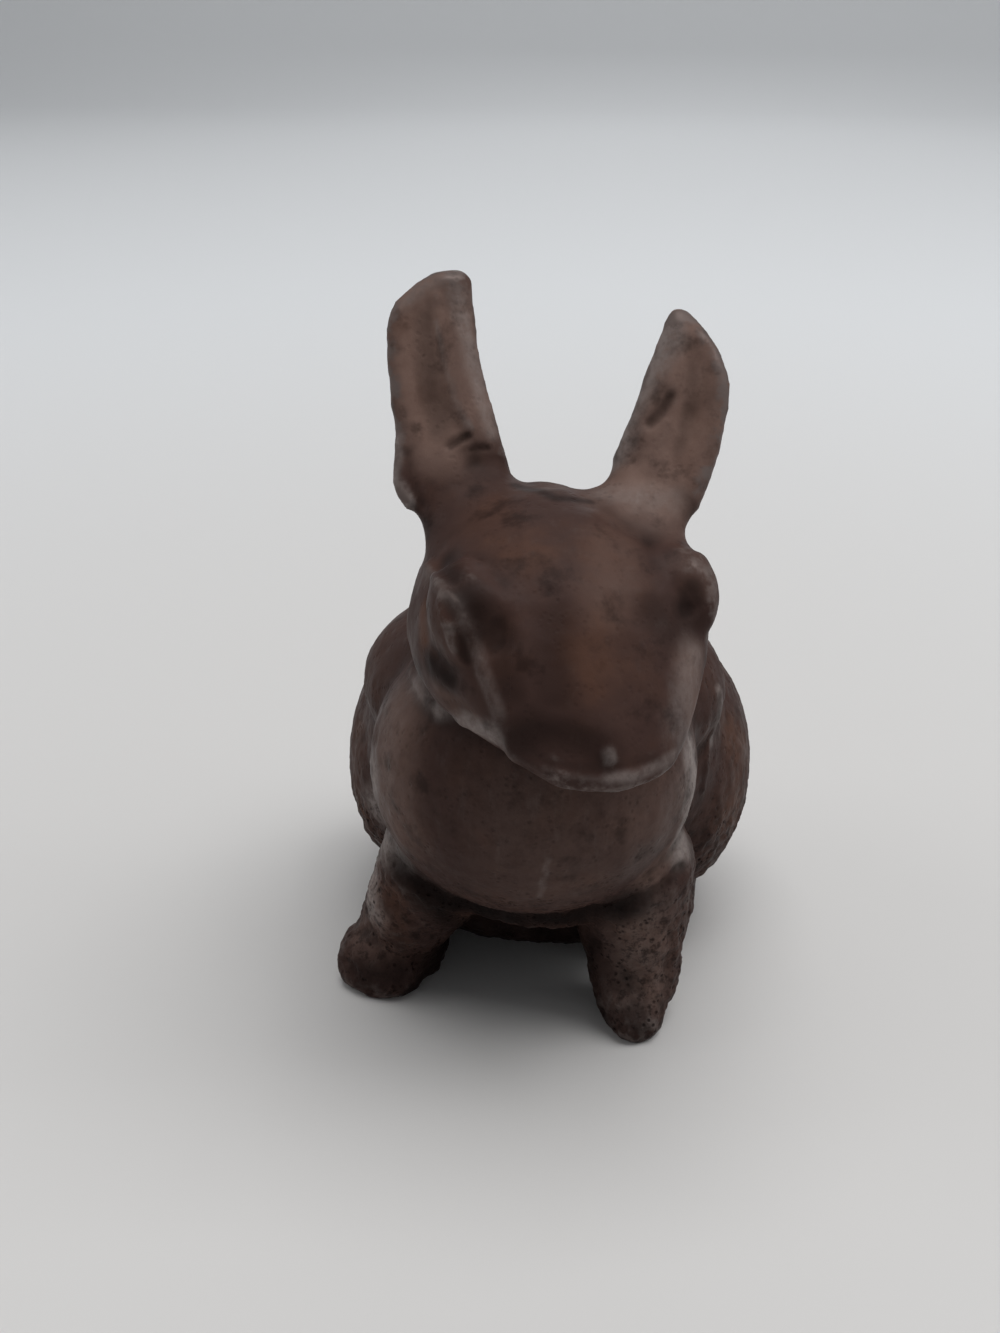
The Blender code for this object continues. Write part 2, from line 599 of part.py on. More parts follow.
def metal(name, colour, roughness, metallic):
    """Makes a Principled material."""
    material = bpy.data.materials.new(name)
    material.use_nodes = True
    shader = material.node_tree.nodes["Principled BSDF"]
    shader.inputs["Base Color"].default_value = (*colour, 1)
    shader.inputs["Roughness"].default_value = roughness
    shader.inputs["Metallic"].default_value = metallic
    material.diffuse_color = (*colour, 1)
    return material


def left_iron():
    """Browned cast iron of the left half."""
    return metal("left_browned_cast_iron", (0.045, 0.030, 0.024), 0.55, 0.3)


def right_iron():
    """Browned cast iron of the right half, a little darker."""
    return metal("right_browned_cast_iron", (0.042, 0.028, 0.023), 0.55, 0.3)


def screw_steel():
    """Dulled steel of the tie screw."""
    return metal("screw_steel", (0.10, 0.09, 0.08), 0.5, 0.8)


def nut_steel():
    """Dulled steel of the nut."""
    return metal("nut_steel", (0.09, 0.08, 0.07), 0.55, 0.8)


def finish(obj, material):
    """Gives a piece its material and smooth shading with crisp edges."""
    obj.data.materials.clear()
    obj.data.materials.append(material)
    for polygon in obj.data.polygons:
        polygon.material_index = 0
    obj.data.shade_smooth()
    obj.data.set_sharp_from_angle(angle=math.radians(40))


def new_collection(name):
    """Makes a collection in the scene."""
    collection = bpy.data.collections.new(name)
    bpy.context.scene.collection.children.link(collection)
    return collection


def centre_lengthwise(rabbit, guides):
    """Moves everything along y so that the middle of the rabbit's length lies on the origin."""
    reach = [(obj.matrix_world @ Vector(corner)).y for obj in rabbit.objects for corner in obj.bound_box]
    middle = (min(reach) + max(reach)) / 2
    for obj in [*rabbit.objects, *guides.objects]:
        obj.location.y -= middle


def main():
    """Builds the four pieces."""
    for obj in list(bpy.data.objects):
        bpy.data.objects.remove(obj)
    rabbit = new_collection("cast_iron_rabbit")
    guides = new_collection("guides")
    whole = figure(guides)
    thin_out(whole, SKIN_TRIANGLES)
    hollow = core(guides)
    finish(left_half(whole, hollow, rabbit, guides), left_iron())
    finish(right_half(whole, hollow, rabbit, guides), right_iron())
    finish(tie_screw(rabbit, guides), screw_steel())
    finish(square_nut(rabbit, guides), nut_steel())
    centre_lengthwise(rabbit, guides)
    for guide in guides.objects:
        guide.hide_render = True
        guide.display_type = "WIRE"


if __name__ == "__main__":
    main()
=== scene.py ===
"""The looks of a cast iron rabbit figurine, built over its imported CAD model.

The rabbit faces -Y and stands on z = 0, and its left side is +X. Lengths are in metres, apart
from the tables of strokes and places, which are in millimetres.
Both castings are shaped as one skin, so that the carving runs across the seam, and the skin
is then parted on the seam plane.
"""

import json
import logging
import math
from collections.abc import Callable, Iterator
from contextlib import contextmanager
from dataclasses import dataclass
from enum import Enum

import bpy
import numpy as np
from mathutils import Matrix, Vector

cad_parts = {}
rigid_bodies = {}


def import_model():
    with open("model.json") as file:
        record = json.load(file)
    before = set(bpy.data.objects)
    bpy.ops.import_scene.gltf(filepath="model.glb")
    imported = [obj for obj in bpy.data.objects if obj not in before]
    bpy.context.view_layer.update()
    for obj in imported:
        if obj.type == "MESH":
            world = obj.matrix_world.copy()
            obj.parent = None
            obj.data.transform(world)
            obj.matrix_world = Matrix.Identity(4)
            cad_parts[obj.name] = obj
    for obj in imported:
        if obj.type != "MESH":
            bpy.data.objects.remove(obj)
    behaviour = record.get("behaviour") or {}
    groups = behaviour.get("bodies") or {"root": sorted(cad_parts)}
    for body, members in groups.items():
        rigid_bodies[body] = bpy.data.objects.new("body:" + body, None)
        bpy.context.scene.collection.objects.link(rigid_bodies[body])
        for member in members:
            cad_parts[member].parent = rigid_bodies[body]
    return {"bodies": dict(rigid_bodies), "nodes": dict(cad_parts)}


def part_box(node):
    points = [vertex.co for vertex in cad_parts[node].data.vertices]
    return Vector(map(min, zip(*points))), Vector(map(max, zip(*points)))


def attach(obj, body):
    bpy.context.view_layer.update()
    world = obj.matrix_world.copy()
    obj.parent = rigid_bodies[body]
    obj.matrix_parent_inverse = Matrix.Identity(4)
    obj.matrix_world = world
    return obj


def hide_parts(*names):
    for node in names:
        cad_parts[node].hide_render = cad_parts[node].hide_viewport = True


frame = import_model()

LOG = logging.getLogger("rabbit")
ROOT = "root"
MM_PER_M = 1000
SHARP_EDGE = math.radians(35)
FACING_DOWN = -0.9

# Relief of the sand skin: a texture's name and kind, its scale and its strength in metres.
SAND_TEXTURES = (
    ("lumps", "CLOUDS", 0.0036, 0.00050),
    ("grain", "CLOUDS", 0.0011, 0.00044),
    ("pits", "VORONOI", 0.0016, 0.00040),
)

# Carving strokes: a line of points in the model's axes, the tool's reach, the lift and the
# crispness.
FACE_STROKES = (
    (((-4.6, -36.6, 68.2), (-3.5, -37.0, 66.6), (-2.6, -37.3, 65.0)), 3.2, -0.4, 0.3),
    (((-8.6, -26.3, 68.6), (-6.5, -34.4, 69.5)), 2.2, -0.22, 0.5),
    (((-11.1, -23.7, 66.7), (-7.7, -34.8, 68.7), (-5.6, -37.3, 67.3), (-4.1, -38.3, 64.5),
      (-3.0, -39.0, 61.2), (-1.3, -40.3, 57.2)), 1.3, 0.5, 1.6),
    (((-8.6, -34.8, 60.3), (-6.6, -36.8, 59.5)), 1.7, -0.5, 0.6),
    (((-5.4, -38.5, 64.5), (-4.8, -38.5, 62.5)), 1.0, -0.35, 0.8),
    (((-7.9, -35.6, 67.7), (-6.7, -37.9, 65.1), (-5.9, -38.2, 63.0)), 0.9, 0.25, 1.2),
    (((-16.8, -5.6, 49.3), (-15.2, -12.7, 49.3), (-13.0, -20.0, 49.6), (-10.1, -24.2, 48.8),
      (-5.0, -36.5, 53.7), (-1.8, -39.7, 54.0), (2.4, -42.2, 52.6), (6.1, -43.3, 51.7)), 1.0, 0.25,
      1.4),
    (((18.2, -27.4, 66.4), (18.4, -27.9, 65.2)), 1.9, -0.34, 0.4),
    (((14.5, -31.6, 65.2), (18.1, -29.2, 63.4)), 3.2, -0.26, 0.4),
    (((12.1, -29.6, 68.3), (14.7, -28.9, 67.4)), 1.2, -0.12, 0.8),
    (((6.4, -23.2, 72.7), (7.6, -29.0, 70.3), (7.4, -34.9, 65.8), (8.2, -38.7, 60.7),
      (9.9, -41.2, 55.7)), 3.6, 0.32, 0.6),
    (((2.8, -34.6, 67.8), (3.6, -38.0, 63.6), (4.5, -40.6, 59.1)), 2.6, -0.22, 0.6),
    (((1.2, -41.6, 54.3), (5.0, -42.2, 55.6), (8.7, -42.1, 54.5)), 2.2, -0.28, 0.5),
    (((10.4, -41.8, 53.9), (10.6, -42.0, 53.3)), 1.2, 0.45, 0.9),
    (((-1.1, -40.1, 53.6), (3.9, -42.8, 52.6), (9.7, -42.7, 52.1), (15.3, -39.9, 52.3)), 0.9, -0.2,
      1.0),
    (((-6.1, -25.4, 70.7), (-0.1, -29.2, 70.0), (3.3, -33.5, 68.5)), 5.0, 0.15, 0.6),
)
EAR_STROKES = (
    (((-11.9, -8.6, 93.3), (-11.4, -9.6, 90.1), (-10.5, -10.9, 86.4), (-9.4, -12.3, 82.7),
      (-7.7, -13.4, 79.6)), 1.2, 0.35, 1.8),
    (((-14.2, -9.9, 90.1), (-13.3, -11.7, 84.8), (-11.7, -13.4, 80.0)), 3.0, -0.14, 0.4),
    (((-9.9, -14.3, 77.8), (-8.9, -13.9, 78.4), (-7.9, -13.7, 78.9)), 0.6, -0.45, 1.0),
    (((-7.1, -13.8, 77.5), (-5.6, -13.3, 77.5)), 0.5, -0.35, 1.0),
    (((-15.7, -14.4, 77.8), (-15.8, -15.7, 74.3), (-14.4, -17.5, 71.9)), 1.6, 0.35, 1.0),
    (((-14.7, -15.4, 77.0), (-14.1, -16.9, 74.3), (-12.7, -18.3, 72.0)), 1.0, -0.35, 1.0),
    (((15.0, -10.8, 83.5), (14.1, -11.5, 81.9), (12.9, -11.9, 80.6)), 0.9, -0.5, 0.8),
    (((15.6, -7.7, 90.9), (15.5, -9.7, 86.3), (15.3, -11.4, 82.1), (14.5, -14.8, 76.1)), 1.6, 0.22,
      1.4),
)
BODY_STROKES = (
    (((8.4, -12.5, 13.0), (9.4, -14.0, 7.0), (11.2, -15.8, 3.0)), 4.6, 1.2, 0.4),
    (((-17.3, -18.2, 23.6), (-15.5, -19.7, 22.8), (-12.8, -20.6, 21.7), (-9.1, -20.0, 19.6),
      (-3.4, -19.9, 18.5)), 1.8, -0.85, 0.5),
    (((19.0, -17.3, 25.0), (16.9, -19.6, 23.7), (14.3, -20.6, 22.3), (10.8, -20.3, 20.3),
      (6.1, -19.5, 18.5)), 1.4, -0.75, 0.6),
    (((-20.2, -14.7, 14.8), (-18.2, -16.0, 12.7), (-17.0, -15.5, 10.1)), 4.5, 0.9, 0.3),
    (((-25.8, -8.6, 6.2), (-24.3, -11.8, 7.2), (-21.5, -13.7, 7.5), (-18.0, -14.6, 8.1),
      (-14.5, -15.6, 10.4)), 1.7, 0.22, 1.0),
    (((-24.8, -14.4, 4.1), (-21.4, -16.0, 4.2), (-17.9, -15.8, 4.7)), 2.6, -0.45, 0.6),
    (((10.9, -19.4, 16.5), (12.3, -18.6, 10.7), (14.1, -19.5, 5.9)), 2.0, -0.35, 0.6),
    (((18.5, -17.5, 15.0), (18.2, -17.1, 10.1), (17.6, -17.7, 6.5)), 1.6, -0.3, 0.6),
    (((-12.9, -15.5, 10.7), (-15.1, -12.9, 4.8), (-17.0, -15.2, 2.5)), 1.3, 0.3, 1.2),
    (((10.4, -17.0, 3.8), (12.5, -19.6, 5.0), (15.5, -19.2, 6.2), (17.6, -17.6, 7.2)), 1.5, 0.4,
      1.2),
    (((8.3, -16.6, 13.6), (9.7, -16.2, 8.2), (11.5, -18.6, 5.0)), 1.3, 0.35, 1.2),
    (((23.0, -3.1, 43.2), (23.0, -2.9, 38.5), (21.9, -4.5, 33.4), (21.6, -5.3, 29.6)), 0.9, 0.28,
      1.2),
)
# Places where the skin is eased until no crease is left: a line of points and a reach.
EASED_PLACES = (
    (((-11.2, -19.9, 69.0), (-7.5, -19.0, 71.6), (-3.2, -16.0, 73.5)), 4.6),
    (((7.5, -14.1, 73.2), (10.5, -16.2, 73.1), (14.0, -18.3, 71.6), (16.5, -19.2, 70.0)), 4.4),
)
# Patina and painted light laid on by place: a line of points, a reach and a strength.
# Pale dust, and painted highlights and sheen on the lit rims of the chest, jaw, cheek ridges and
# ears and on the nose tip.
DUST_AND_HIGHLIGHT_PLACES = (
    (((-19.0, -19.5, 37.2), (-22.2, -3.7, 23.6), (-19.3, -13.7, 24.6), (-16.6, -18.5, 25.0)), 4.4,
      0.8),
    (((-16.9, -23.1, 37.9), (-17.3, -17.4, 26.0)), 6.0, 0.3),
    (((-16.4, -17.6, 46.7), (-16.8, -21.2, 43.1), (-17.2, -22.4, 39.5)), 4.5, 0.25),
    (((19.7, -16.2, 40.5), (20.0, -16.8, 35.6), (18.9, -15.5, 27.3)), 4.4, 0.95),
    (((14.1, -24.5, 29.8), (17.2, -22.3, 33.5), (18.4, -20.7, 38.1)), 5.0, 0.32),
    (((3.6, -30.9, 33.7), (3.1, -30.7, 32.5), (3.4, -30.3, 31.3), (2.6, -30.0, 30.0),
      (2.8, -29.4, 28.6), (2.3, -28.6, 26.9)), 0.7, 0.38),
    (((10.7, -42.7, 51.4), (13.1, -41.8, 51.2), (15.3, -39.9, 51.4), (17.2, -37.9, 52.2)), 1.3,
      0.55),
    (((17.2, -37.9, 52.2), (19.6, -13.6, 41.9)), 1.5, 0.3),
    (((10.4, -41.8, 53.9), (10.6, -42.0, 53.3)), 1.1, 1.0),
    (((-13.7, -18.7, 49.5), (-10.0, -24.2, 49.1)), 2.2, 0.55),
    (((-10.0, -24.2, 49.1), (-4.9, -36.6, 54.0), (-1.7, -39.8, 54.1)), 2.2, 0.85),
    (((3.9, -42.8, 52.3), (7.1, -43.3, 51.7), (10.3, -42.9, 51.2)), 0.7, 0.3),
    (((-11.2, -24.4, 66.3), (-7.7, -35.0, 68.6), (-5.5, -37.3, 67.2), (-4.0, -38.3, 64.4),
      (-2.9, -39.0, 61.1), (-1.0, -40.4, 57.1)), 1.4, 0.4),
    (((-11.3, -25.2, 65.8), (-9.3, -33.9, 67.1)), 1.2, 0.25),
    (((-6.7, -37.8, 65.5), (-6.3, -38.1, 63.3)), 1.0, 0.3),
    (((18.7, -31.0, 60.6), (18.0, -34.0, 57.8), (17.5, -36.6, 54.3)), 3.6, 0.42),
    (((-9.8, -8.0, 94.1), (-8.6, -8.7, 89.9), (-7.5, -9.8, 86.2), (-6.4, -11.0, 82.5),
      (-5.2, -11.9, 79.2)), 2.0, 0.55),
    (((-11.8, -9.3, 90.9), (-10.7, -10.8, 86.7), (-9.5, -12.2, 82.9), (-7.8, -13.3, 79.8)), 0.6,
      0.6),
    (((-15.8, -9.1, 92.7), (-13.3, -8.2, 94.6), (-10.5, -7.6, 95.7)), 1.6, 0.35),
    (((-16.0, -14.0, 78.3), (-15.9, -15.5, 74.2), (-14.4, -17.5, 71.9)), 1.5, 1.0),
    (((14.4, -8.1, 89.7), (12.6, -8.4, 86.1), (10.8, -9.0, 81.0), (8.9, -11.3, 76.4)), 3.4, 0.8),
    (((8.3, -16.2, 73.3), (12.2, -17.1, 73.4), (15.8, -17.3, 73.4)), 3.0, 0.4),
    (((22.9, -3.3, 43.3), (23.0, -2.9, 38.5), (22.4, -2.7, 35.4)), 1.3, 0.7),
    (((-25.2, -7.4, 6.4), (-21.5, -13.0, 9.0), (-19.5, -14.9, 11.0)), 1.6, 0.2),
    (((-21.2, -12.0, 18.6), (-20.6, -14.0, 14.6)), 4.6, 0.9),
    (((2.5, -30.8, 40.2), (4.9, -30.3, 31.9)), 16.0, 0.13),
    (((14.6, -20.1, 19.9), (14.6, -18.5, 6.5)), 6.5, 0.34),
    (((-21.4, -13.4, 15.0), (-22.2, -13.0, 8.4)), 5.0, 0.14),
    (((-4.7, -36.8, 54.1), (-1.7, -40.0, 55.2), (-0.8, -40.0, 52.9)), 1.8, 0.5),
)
# Near-black soot, and painted shade in the eye sockets, ear pockets and mouth, in the crease under
# the chest, under the belly and at the paws.
SOOT_AND_SHADE_PLACES = (
    (((-5.0, -36.4, 68.6), (-3.9, -37.0, 67.1), (-3.3, -37.4, 65.5)), 3.3, 0.85),
    (((-3.2, -37.6, 65.1), (-0.9, -37.7, 63.9)), 2.8, 0.5),
    (((-5.0, -35.1, 69.4), (-4.1, -35.9, 68.7)), 1.8, 0.4),
    (((-8.6, -26.3, 68.6), (-6.6, -34.1, 69.6)), 2.0, 0.7),
    (((18.5, -27.2, 66.6), (18.8, -27.6, 65.5)), 1.7, 0.65),
    (((14.6, -31.4, 65.4), (16.4, -31.4, 63.8), (18.7, -28.6, 63.5)), 3.4, 0.5),
    (((-9.5, -33.6, 59.2), (-7.1, -36.3, 58.7)), 2.4, 0.85),
    (((-5.3, -38.5, 64.5), (-4.8, -38.5, 62.2)), 1.1, 0.7),
    (((0.8, -41.4, 54.4), (3.3, -41.8, 56.4), (6.6, -42.1, 55.6), (9.4, -42.0, 54.3)), 3.4, 0.55),
    (((-2.0, -15.7, 73.8), (2.8, -19.6, 73.9), (6.6, -18.3, 73.1)), 1.2, 0.7),
    (((-16.0, -19.3, 23.2), (-12.2, -20.6, 21.2), (-9.2, -19.7, 19.0), (-5.4, -18.8, 17.3),
      (-0.8, -20.2, 18.0)), 4.4, 1.0),
    (((1.8, -20.4, 18.3), (6.8, -19.2, 18.0), (10.8, -20.1, 19.7), (13.3, -20.6, 21.3)), 3.6, 1.0),
    (((14.3, -20.6, 22.1), (16.7, -19.8, 23.4), (18.5, -18.2, 24.4), (19.4, -16.8, 25.0)), 1.1,
      0.8),
    (((-13.8, -20.1, 20.4), (-11.2, -19.4, 17.9), (-9.2, -9.6, 9.8)), 3.4, 0.95),
    (((14.4, -20.3, 4.7), (15.0, -21.2, 2.5)), 2.6, 0.6),
    (((-21.5, -13.0, 9.0), (-18.3, -15.4, 10.9)), 2.2, 0.35),
    (((20.5, -13.3, 25.3), (21.4, -5.2, 28.1), (21.7, -5.1, 32.5)), 2.2, 0.45),
    (((-10.2, -6.2, 6.0), (-1.9, -8.5, 6.7), (4.7, -9.4, 8.8)), 14.0, 1.0),
    (((15.0, -10.8, 83.5), (14.1, -11.5, 81.9), (12.9, -11.9, 80.6)), 0.9, 0.7),
    (((-9.8, -14.3, 77.8), (-8.8, -13.9, 78.4), (-7.8, -13.6, 79.0)), 0.6, 0.85),
    (((-7.3, -13.9, 77.4), (-5.5, -13.2, 77.5)), 0.5, 0.75),
    (((4.7, -35.7, 66.0), (4.2, -38.5, 62.7), (4.8, -40.5, 59.1)), 3.2, 0.35),
    (((-1.4, -37.4, 64.2), (0.2, -40.1, 59.8)), 2.5, 0.35),
    (((-22.9, -15.5, 3.9), (-18.0, -15.8, 4.6)), 3.6, 0.7),
    (((8.5, -16.8, 13.0), (9.1, -14.3, 5.7), (10.9, -17.9, 1.9)), 2.6, 0.95),
    (((-12.5, -6.5, 3.3), (-16.4, -14.1, 0.9)), 2.2, 0.9),
)
RUSTY_PLACES = (
    (((9.7, -28.1, 70.0), (9.5, -35.0, 64.8), (8.9, -37.8, 61.5)), 6.5, 0.52),
    (((9.2, -38.9, 59.7), (11.5, -40.4, 55.9)), 5.0, 0.2),
    (((-14.3, -9.9, 90.1), (-13.4, -11.7, 84.8), (-11.5, -13.4, 80.0)), 3.6, 0.95),
    (((-5.3, -22.5, 72.0), (1.0, -30.5, 70.6)), 5.5, 0.5),
    (((17.9, -9.8, 86.3), (17.8, -12.1, 81.2), (17.4, -15.2, 76.3)), 3.4, 0.7),
    (((26.0, 4.7, 32.1), (26.4, 2.0, 24.2)), 7.0, 0.6),
    (((-25.7, 2.4, 30.2), (-25.8, 0.9, 21.5)), 5.0, 0.5),
    (((-10.7, -29.6, 63.6), (-10.4, -31.6, 61.8)), 2.0, 0.8),
    (((14.4, -19.8, 17.1), (16.0, -18.3, 8.4)), 5.0, 0.5),
    (((-13.6, -20.2, 20.5), (-7.9, -15.2, 14.5), (9.3, -19.2, 18.6), (14.3, -20.6, 21.3)), 3.5,
      0.3),
    (((-17.8, -17.3, 17.5), (-17.0, -16.7, 13.3)), 4.0, 0.5),
)
# Painted light: a lighter tan where the light falls, most on the ears, also on the face, chest and
# legs.
PAINTED_LIGHT_PLACES = (
    (((-13.4, -8.7, 93.3), (-13.6, -10.5, 87.9), (-12.5, -12.4, 82.6), (-11.0, -13.7, 79.3)), 6.5,
      0.95),
    (((-9.5, -8.4, 92.1), (-7.4, -10.7, 84.7), (-6.1, -11.8, 80.9)), 5.0, 0.85),
    (((15.8, -8.6, 88.9), (16.6, -10.9, 83.1), (15.1, -13.4, 78.0), (13.4, -15.5, 75.1)), 9.5, 1.0),
    (((9.5, -26.0, 71.0), (9.3, -32.6, 67.2)), 4.5, 0.22),
    (((18.0, -25.3, 69.3), (19.6, -26.3, 67.5)), 3.0, 0.2),
    (((-15.6, -20.8, 45.6), (-16.0, -23.2, 41.5), (-15.5, -24.7, 34.0)), 7.0, 0.5),
    (((2.5, -30.8, 40.2), (4.9, -30.3, 31.9)), 13.0, 0.22),
    (((13.9, -26.4, 37.0), (17.2, -22.5, 39.0)), 9.0, 0.3),
    (((17.0, -18.9, 27.6), (15.3, -20.2, 25.7)), 4.0, 0.55),
    (((-21.0, -12.6, 17.6), (-20.3, -14.6, 13.7)), 4.5, 0.85),
    (((-22.2, -12.3, 9.3), (-23.2, -12.0, 7.9)), 3.0, 0.35),
    (((-23.4, -12.5, 7.4), (-19.5, -14.8, 7.0)), 4.0, 0.2),
    (((13.1, -20.1, 17.9), (13.2, -18.5, 7.5)), 4.5, 0.3),
    (((16.2, -19.5, 18.5), (16.0, -18.4, 7.7)), 5.0, 0.25),
    (((18.7, -31.6, 59.7), (19.2, -32.1, 54.6)), 4.0, 0.5),
    (((-8.2, -34.8, 56.8), (-4.7, -36.9, 54.4)), 3.0, 0.3),
)


class Side(Enum):
    """The rabbit's own sides, as the sign of x."""

    LEFT = 1
    RIGHT = -1


# The CAD node of each side's casting.
CASTING_NODES = {Side.LEFT: "left_half_casting", Side.RIGHT: "right_half_casting"}


@dataclass(frozen=True)
class Stroke:
    """One pass of a carving tool along a line of points.

    A positive lift raises a ridge and a negative one presses a groove. A crisp value of 1 gives a
    round section, and higher values a narrower crest.
    """

    path: np.ndarray
    reach: float
    lift: float
    crisp: float


@dataclass(frozen=True)
class Lamp:
    """One soft square lamp that faces the rabbit."""

    name: str
    place: tuple[float, float, float]
    size: float
    watts: float


LAMPS = (
    Lamp("ceiling", (0.0, -0.02, 1.50), 1.0, 11.4),
    Lamp("window", (0.75, 0.0, 1.30), 0.8, 7.4),
    Lamp("right_fill", (1.25, 0.0, 0.75), 0.8, 2.0),
    Lamp("left_fill", (-1.25, 0.0, 0.75), 0.8, 2.6),
    Lamp("behind", (0.0, 1.25, 0.50), 0.5, 0.8),
)


@dataclass(frozen=True)
class Patches:
    """A noise pattern that is stretched into patches.

    The scale counts features for each metre, detail counts finer layers and rough is their
    strength. The noise from low to high becomes least to most.
    """

    scale: float
    detail: float
    rough: float
    low: float
    high: float
    least: float = 0.0
    most: float = 1.0


def deselect() -> None:
    """Leaves nothing selected."""
    if bpy.context.object is not None and bpy.context.object.mode != "OBJECT":
        bpy.ops.object.mode_set(mode="OBJECT")
    bpy.ops.object.select_all(action="DESELECT")


def take(*pieces: bpy.types.Object) -> None:
    """Selects pieces and makes the first one active.

    Args:
        pieces: the pieces to select.
    """
    deselect()
    for piece in pieces:
        piece.select_set(True)
    bpy.context.view_layer.objects.active = pieces[0]


@contextmanager
def editing(piece: bpy.types.Object) -> Iterator[None]:
    """Opens a piece in edit mode with all of it selected, and closes it afterwards.

    Args:
        piece: the piece to edit.
    """
    take(piece)
    bpy.ops.object.mode_set(mode="EDIT")
    bpy.ops.mesh.select_all(action="SELECT")
    yield
    bpy.ops.object.mode_set(mode="OBJECT")


def apply_modifier(piece: bpy.types.Object, kind: str, **settings: object) -> None:
    """Adds one modifier and applies it.

    Args:
        piece: the piece to change.
        kind: the modifier's type.
        settings: the modifier's values by name.
    """
    take(piece)
    modifier = piece.modifiers.new(kind.title(), kind)
    for name, value in settings.items():
        setattr(modifier, name, value)
    bpy.ops.object.modifier_apply(modifier=modifier.name)


def cut_away(piece: bpy.types.Object, cutter: bpy.types.Object) -> None:
    """Cuts a shape out of a piece and removes the cutter.

    Args:
        piece: the piece to cut.
        cutter: the shape to take out.
    """
    settle(cutter)
    apply_modifier(piece, "BOOLEAN", operation="DIFFERENCE", solver="EXACT", object=cutter)
    bpy.data.objects.remove(cutter)


def merge_close(piece: bpy.types.Object, gap: float) -> None:
    """Merges a mesh's points that lie closer together than a gap."""
    with editing(piece):
        bpy.ops.mesh.remove_doubles(threshold=gap)


def settle(piece: bpy.types.Object) -> None:
    """Moves a piece's place and turn into its mesh, so that its object sits at the origin."""
    take(piece)
    bpy.ops.object.transform_apply(location=True, rotation=True, scale=True)


def numbers_of(parts: bpy.types.bpy_prop_collection, name: str, width: int = 1,
               kind: type = float) -> np.ndarray:
    """Reads one value of every point, edge, face or corner of a mesh.

    Args:
        parts: the points, edges, faces or corners.
        name: the value to read.
        width: how many numbers it has.
        kind: the numbers' type.

    Returns:
        One number for each part, or one row where the value has more numbers.
    """
    flat = np.empty(len(parts) * width, kind)
    parts.foreach_get(name, flat)
    return flat.reshape(-1, width) if width > 1 else flat


def points_of(piece: bpy.types.Object) -> np.ndarray:
    """Reads a mesh's points."""
    return numbers_of(piece.data.vertices, "co", 3)


def normals_of(piece: bpy.types.Object) -> np.ndarray:
    """Reads a mesh's point normals."""
    return numbers_of(piece.data.vertices, "normal", 3)


def edges_of(piece: bpy.types.Object) -> np.ndarray:
    """Reads a mesh's edges."""
    return numbers_of(piece.data.edges, "vertices", 2, int)


def write_points(piece: bpy.types.Object, points: np.ndarray) -> None:
    """Writes a mesh's points."""
    piece.data.vertices.foreach_set("co", points.ravel())
    piece.data.update()


def distance_to_path(points: np.ndarray, path: np.ndarray) -> np.ndarray:
    """Measures how far points lie from a line of straight stretches.

    Args:
        points: one row for each point.
        path: one row for each corner of the line.

    Returns:
        One distance for each point.
    """
    nearest = np.full(len(points), np.inf)
    for start, end in zip(path, path[1:]):
        along = end - start
        share = np.clip((points - start) @ along / (along @ along), 0, 1)
        gap = points - start - share[:, None] * along
        nearest = np.minimum(nearest, np.linalg.norm(gap, axis=1))
    return nearest


def nearness(points: np.ndarray, path: np.ndarray, reach: float) -> np.ndarray:
    """Rates how near points lie to a line."""
    away = distance_to_path(points, path) / reach
    return np.clip(1 - away ** 2, 0, 1)


def eased(points: np.ndarray, edges: np.ndarray, passes: int,
          steps: tuple[float, ...] = (0.5,)) -> np.ndarray:
    """Moves each point towards the middle of its neighbours, again and again.

    Args:
        points: one row for each point.
        edges: one row for each edge, with its two point numbers.
        passes: how often to go round.
        steps: the share to move in each pass; a negative one after a positive one keeps the size.

    Returns:
        The eased points.
    """
    count = len(points)
    first, second = edges[:, 0], edges[:, 1]
    links = np.bincount(first, minlength=count) + np.bincount(second, minlength=count)
    links = np.maximum(links, 1)[:, None]
    made = points.copy()
    for _ in range(passes):
        for step in steps:
            total = np.empty_like(made)
            for axis in range(3):
                column = made[:, axis]
                total[:, axis] = (
                    np.bincount(first, column[second], count)
                    + np.bincount(second, column[first], count))
            made = made + step * (total / links - made)
    return made


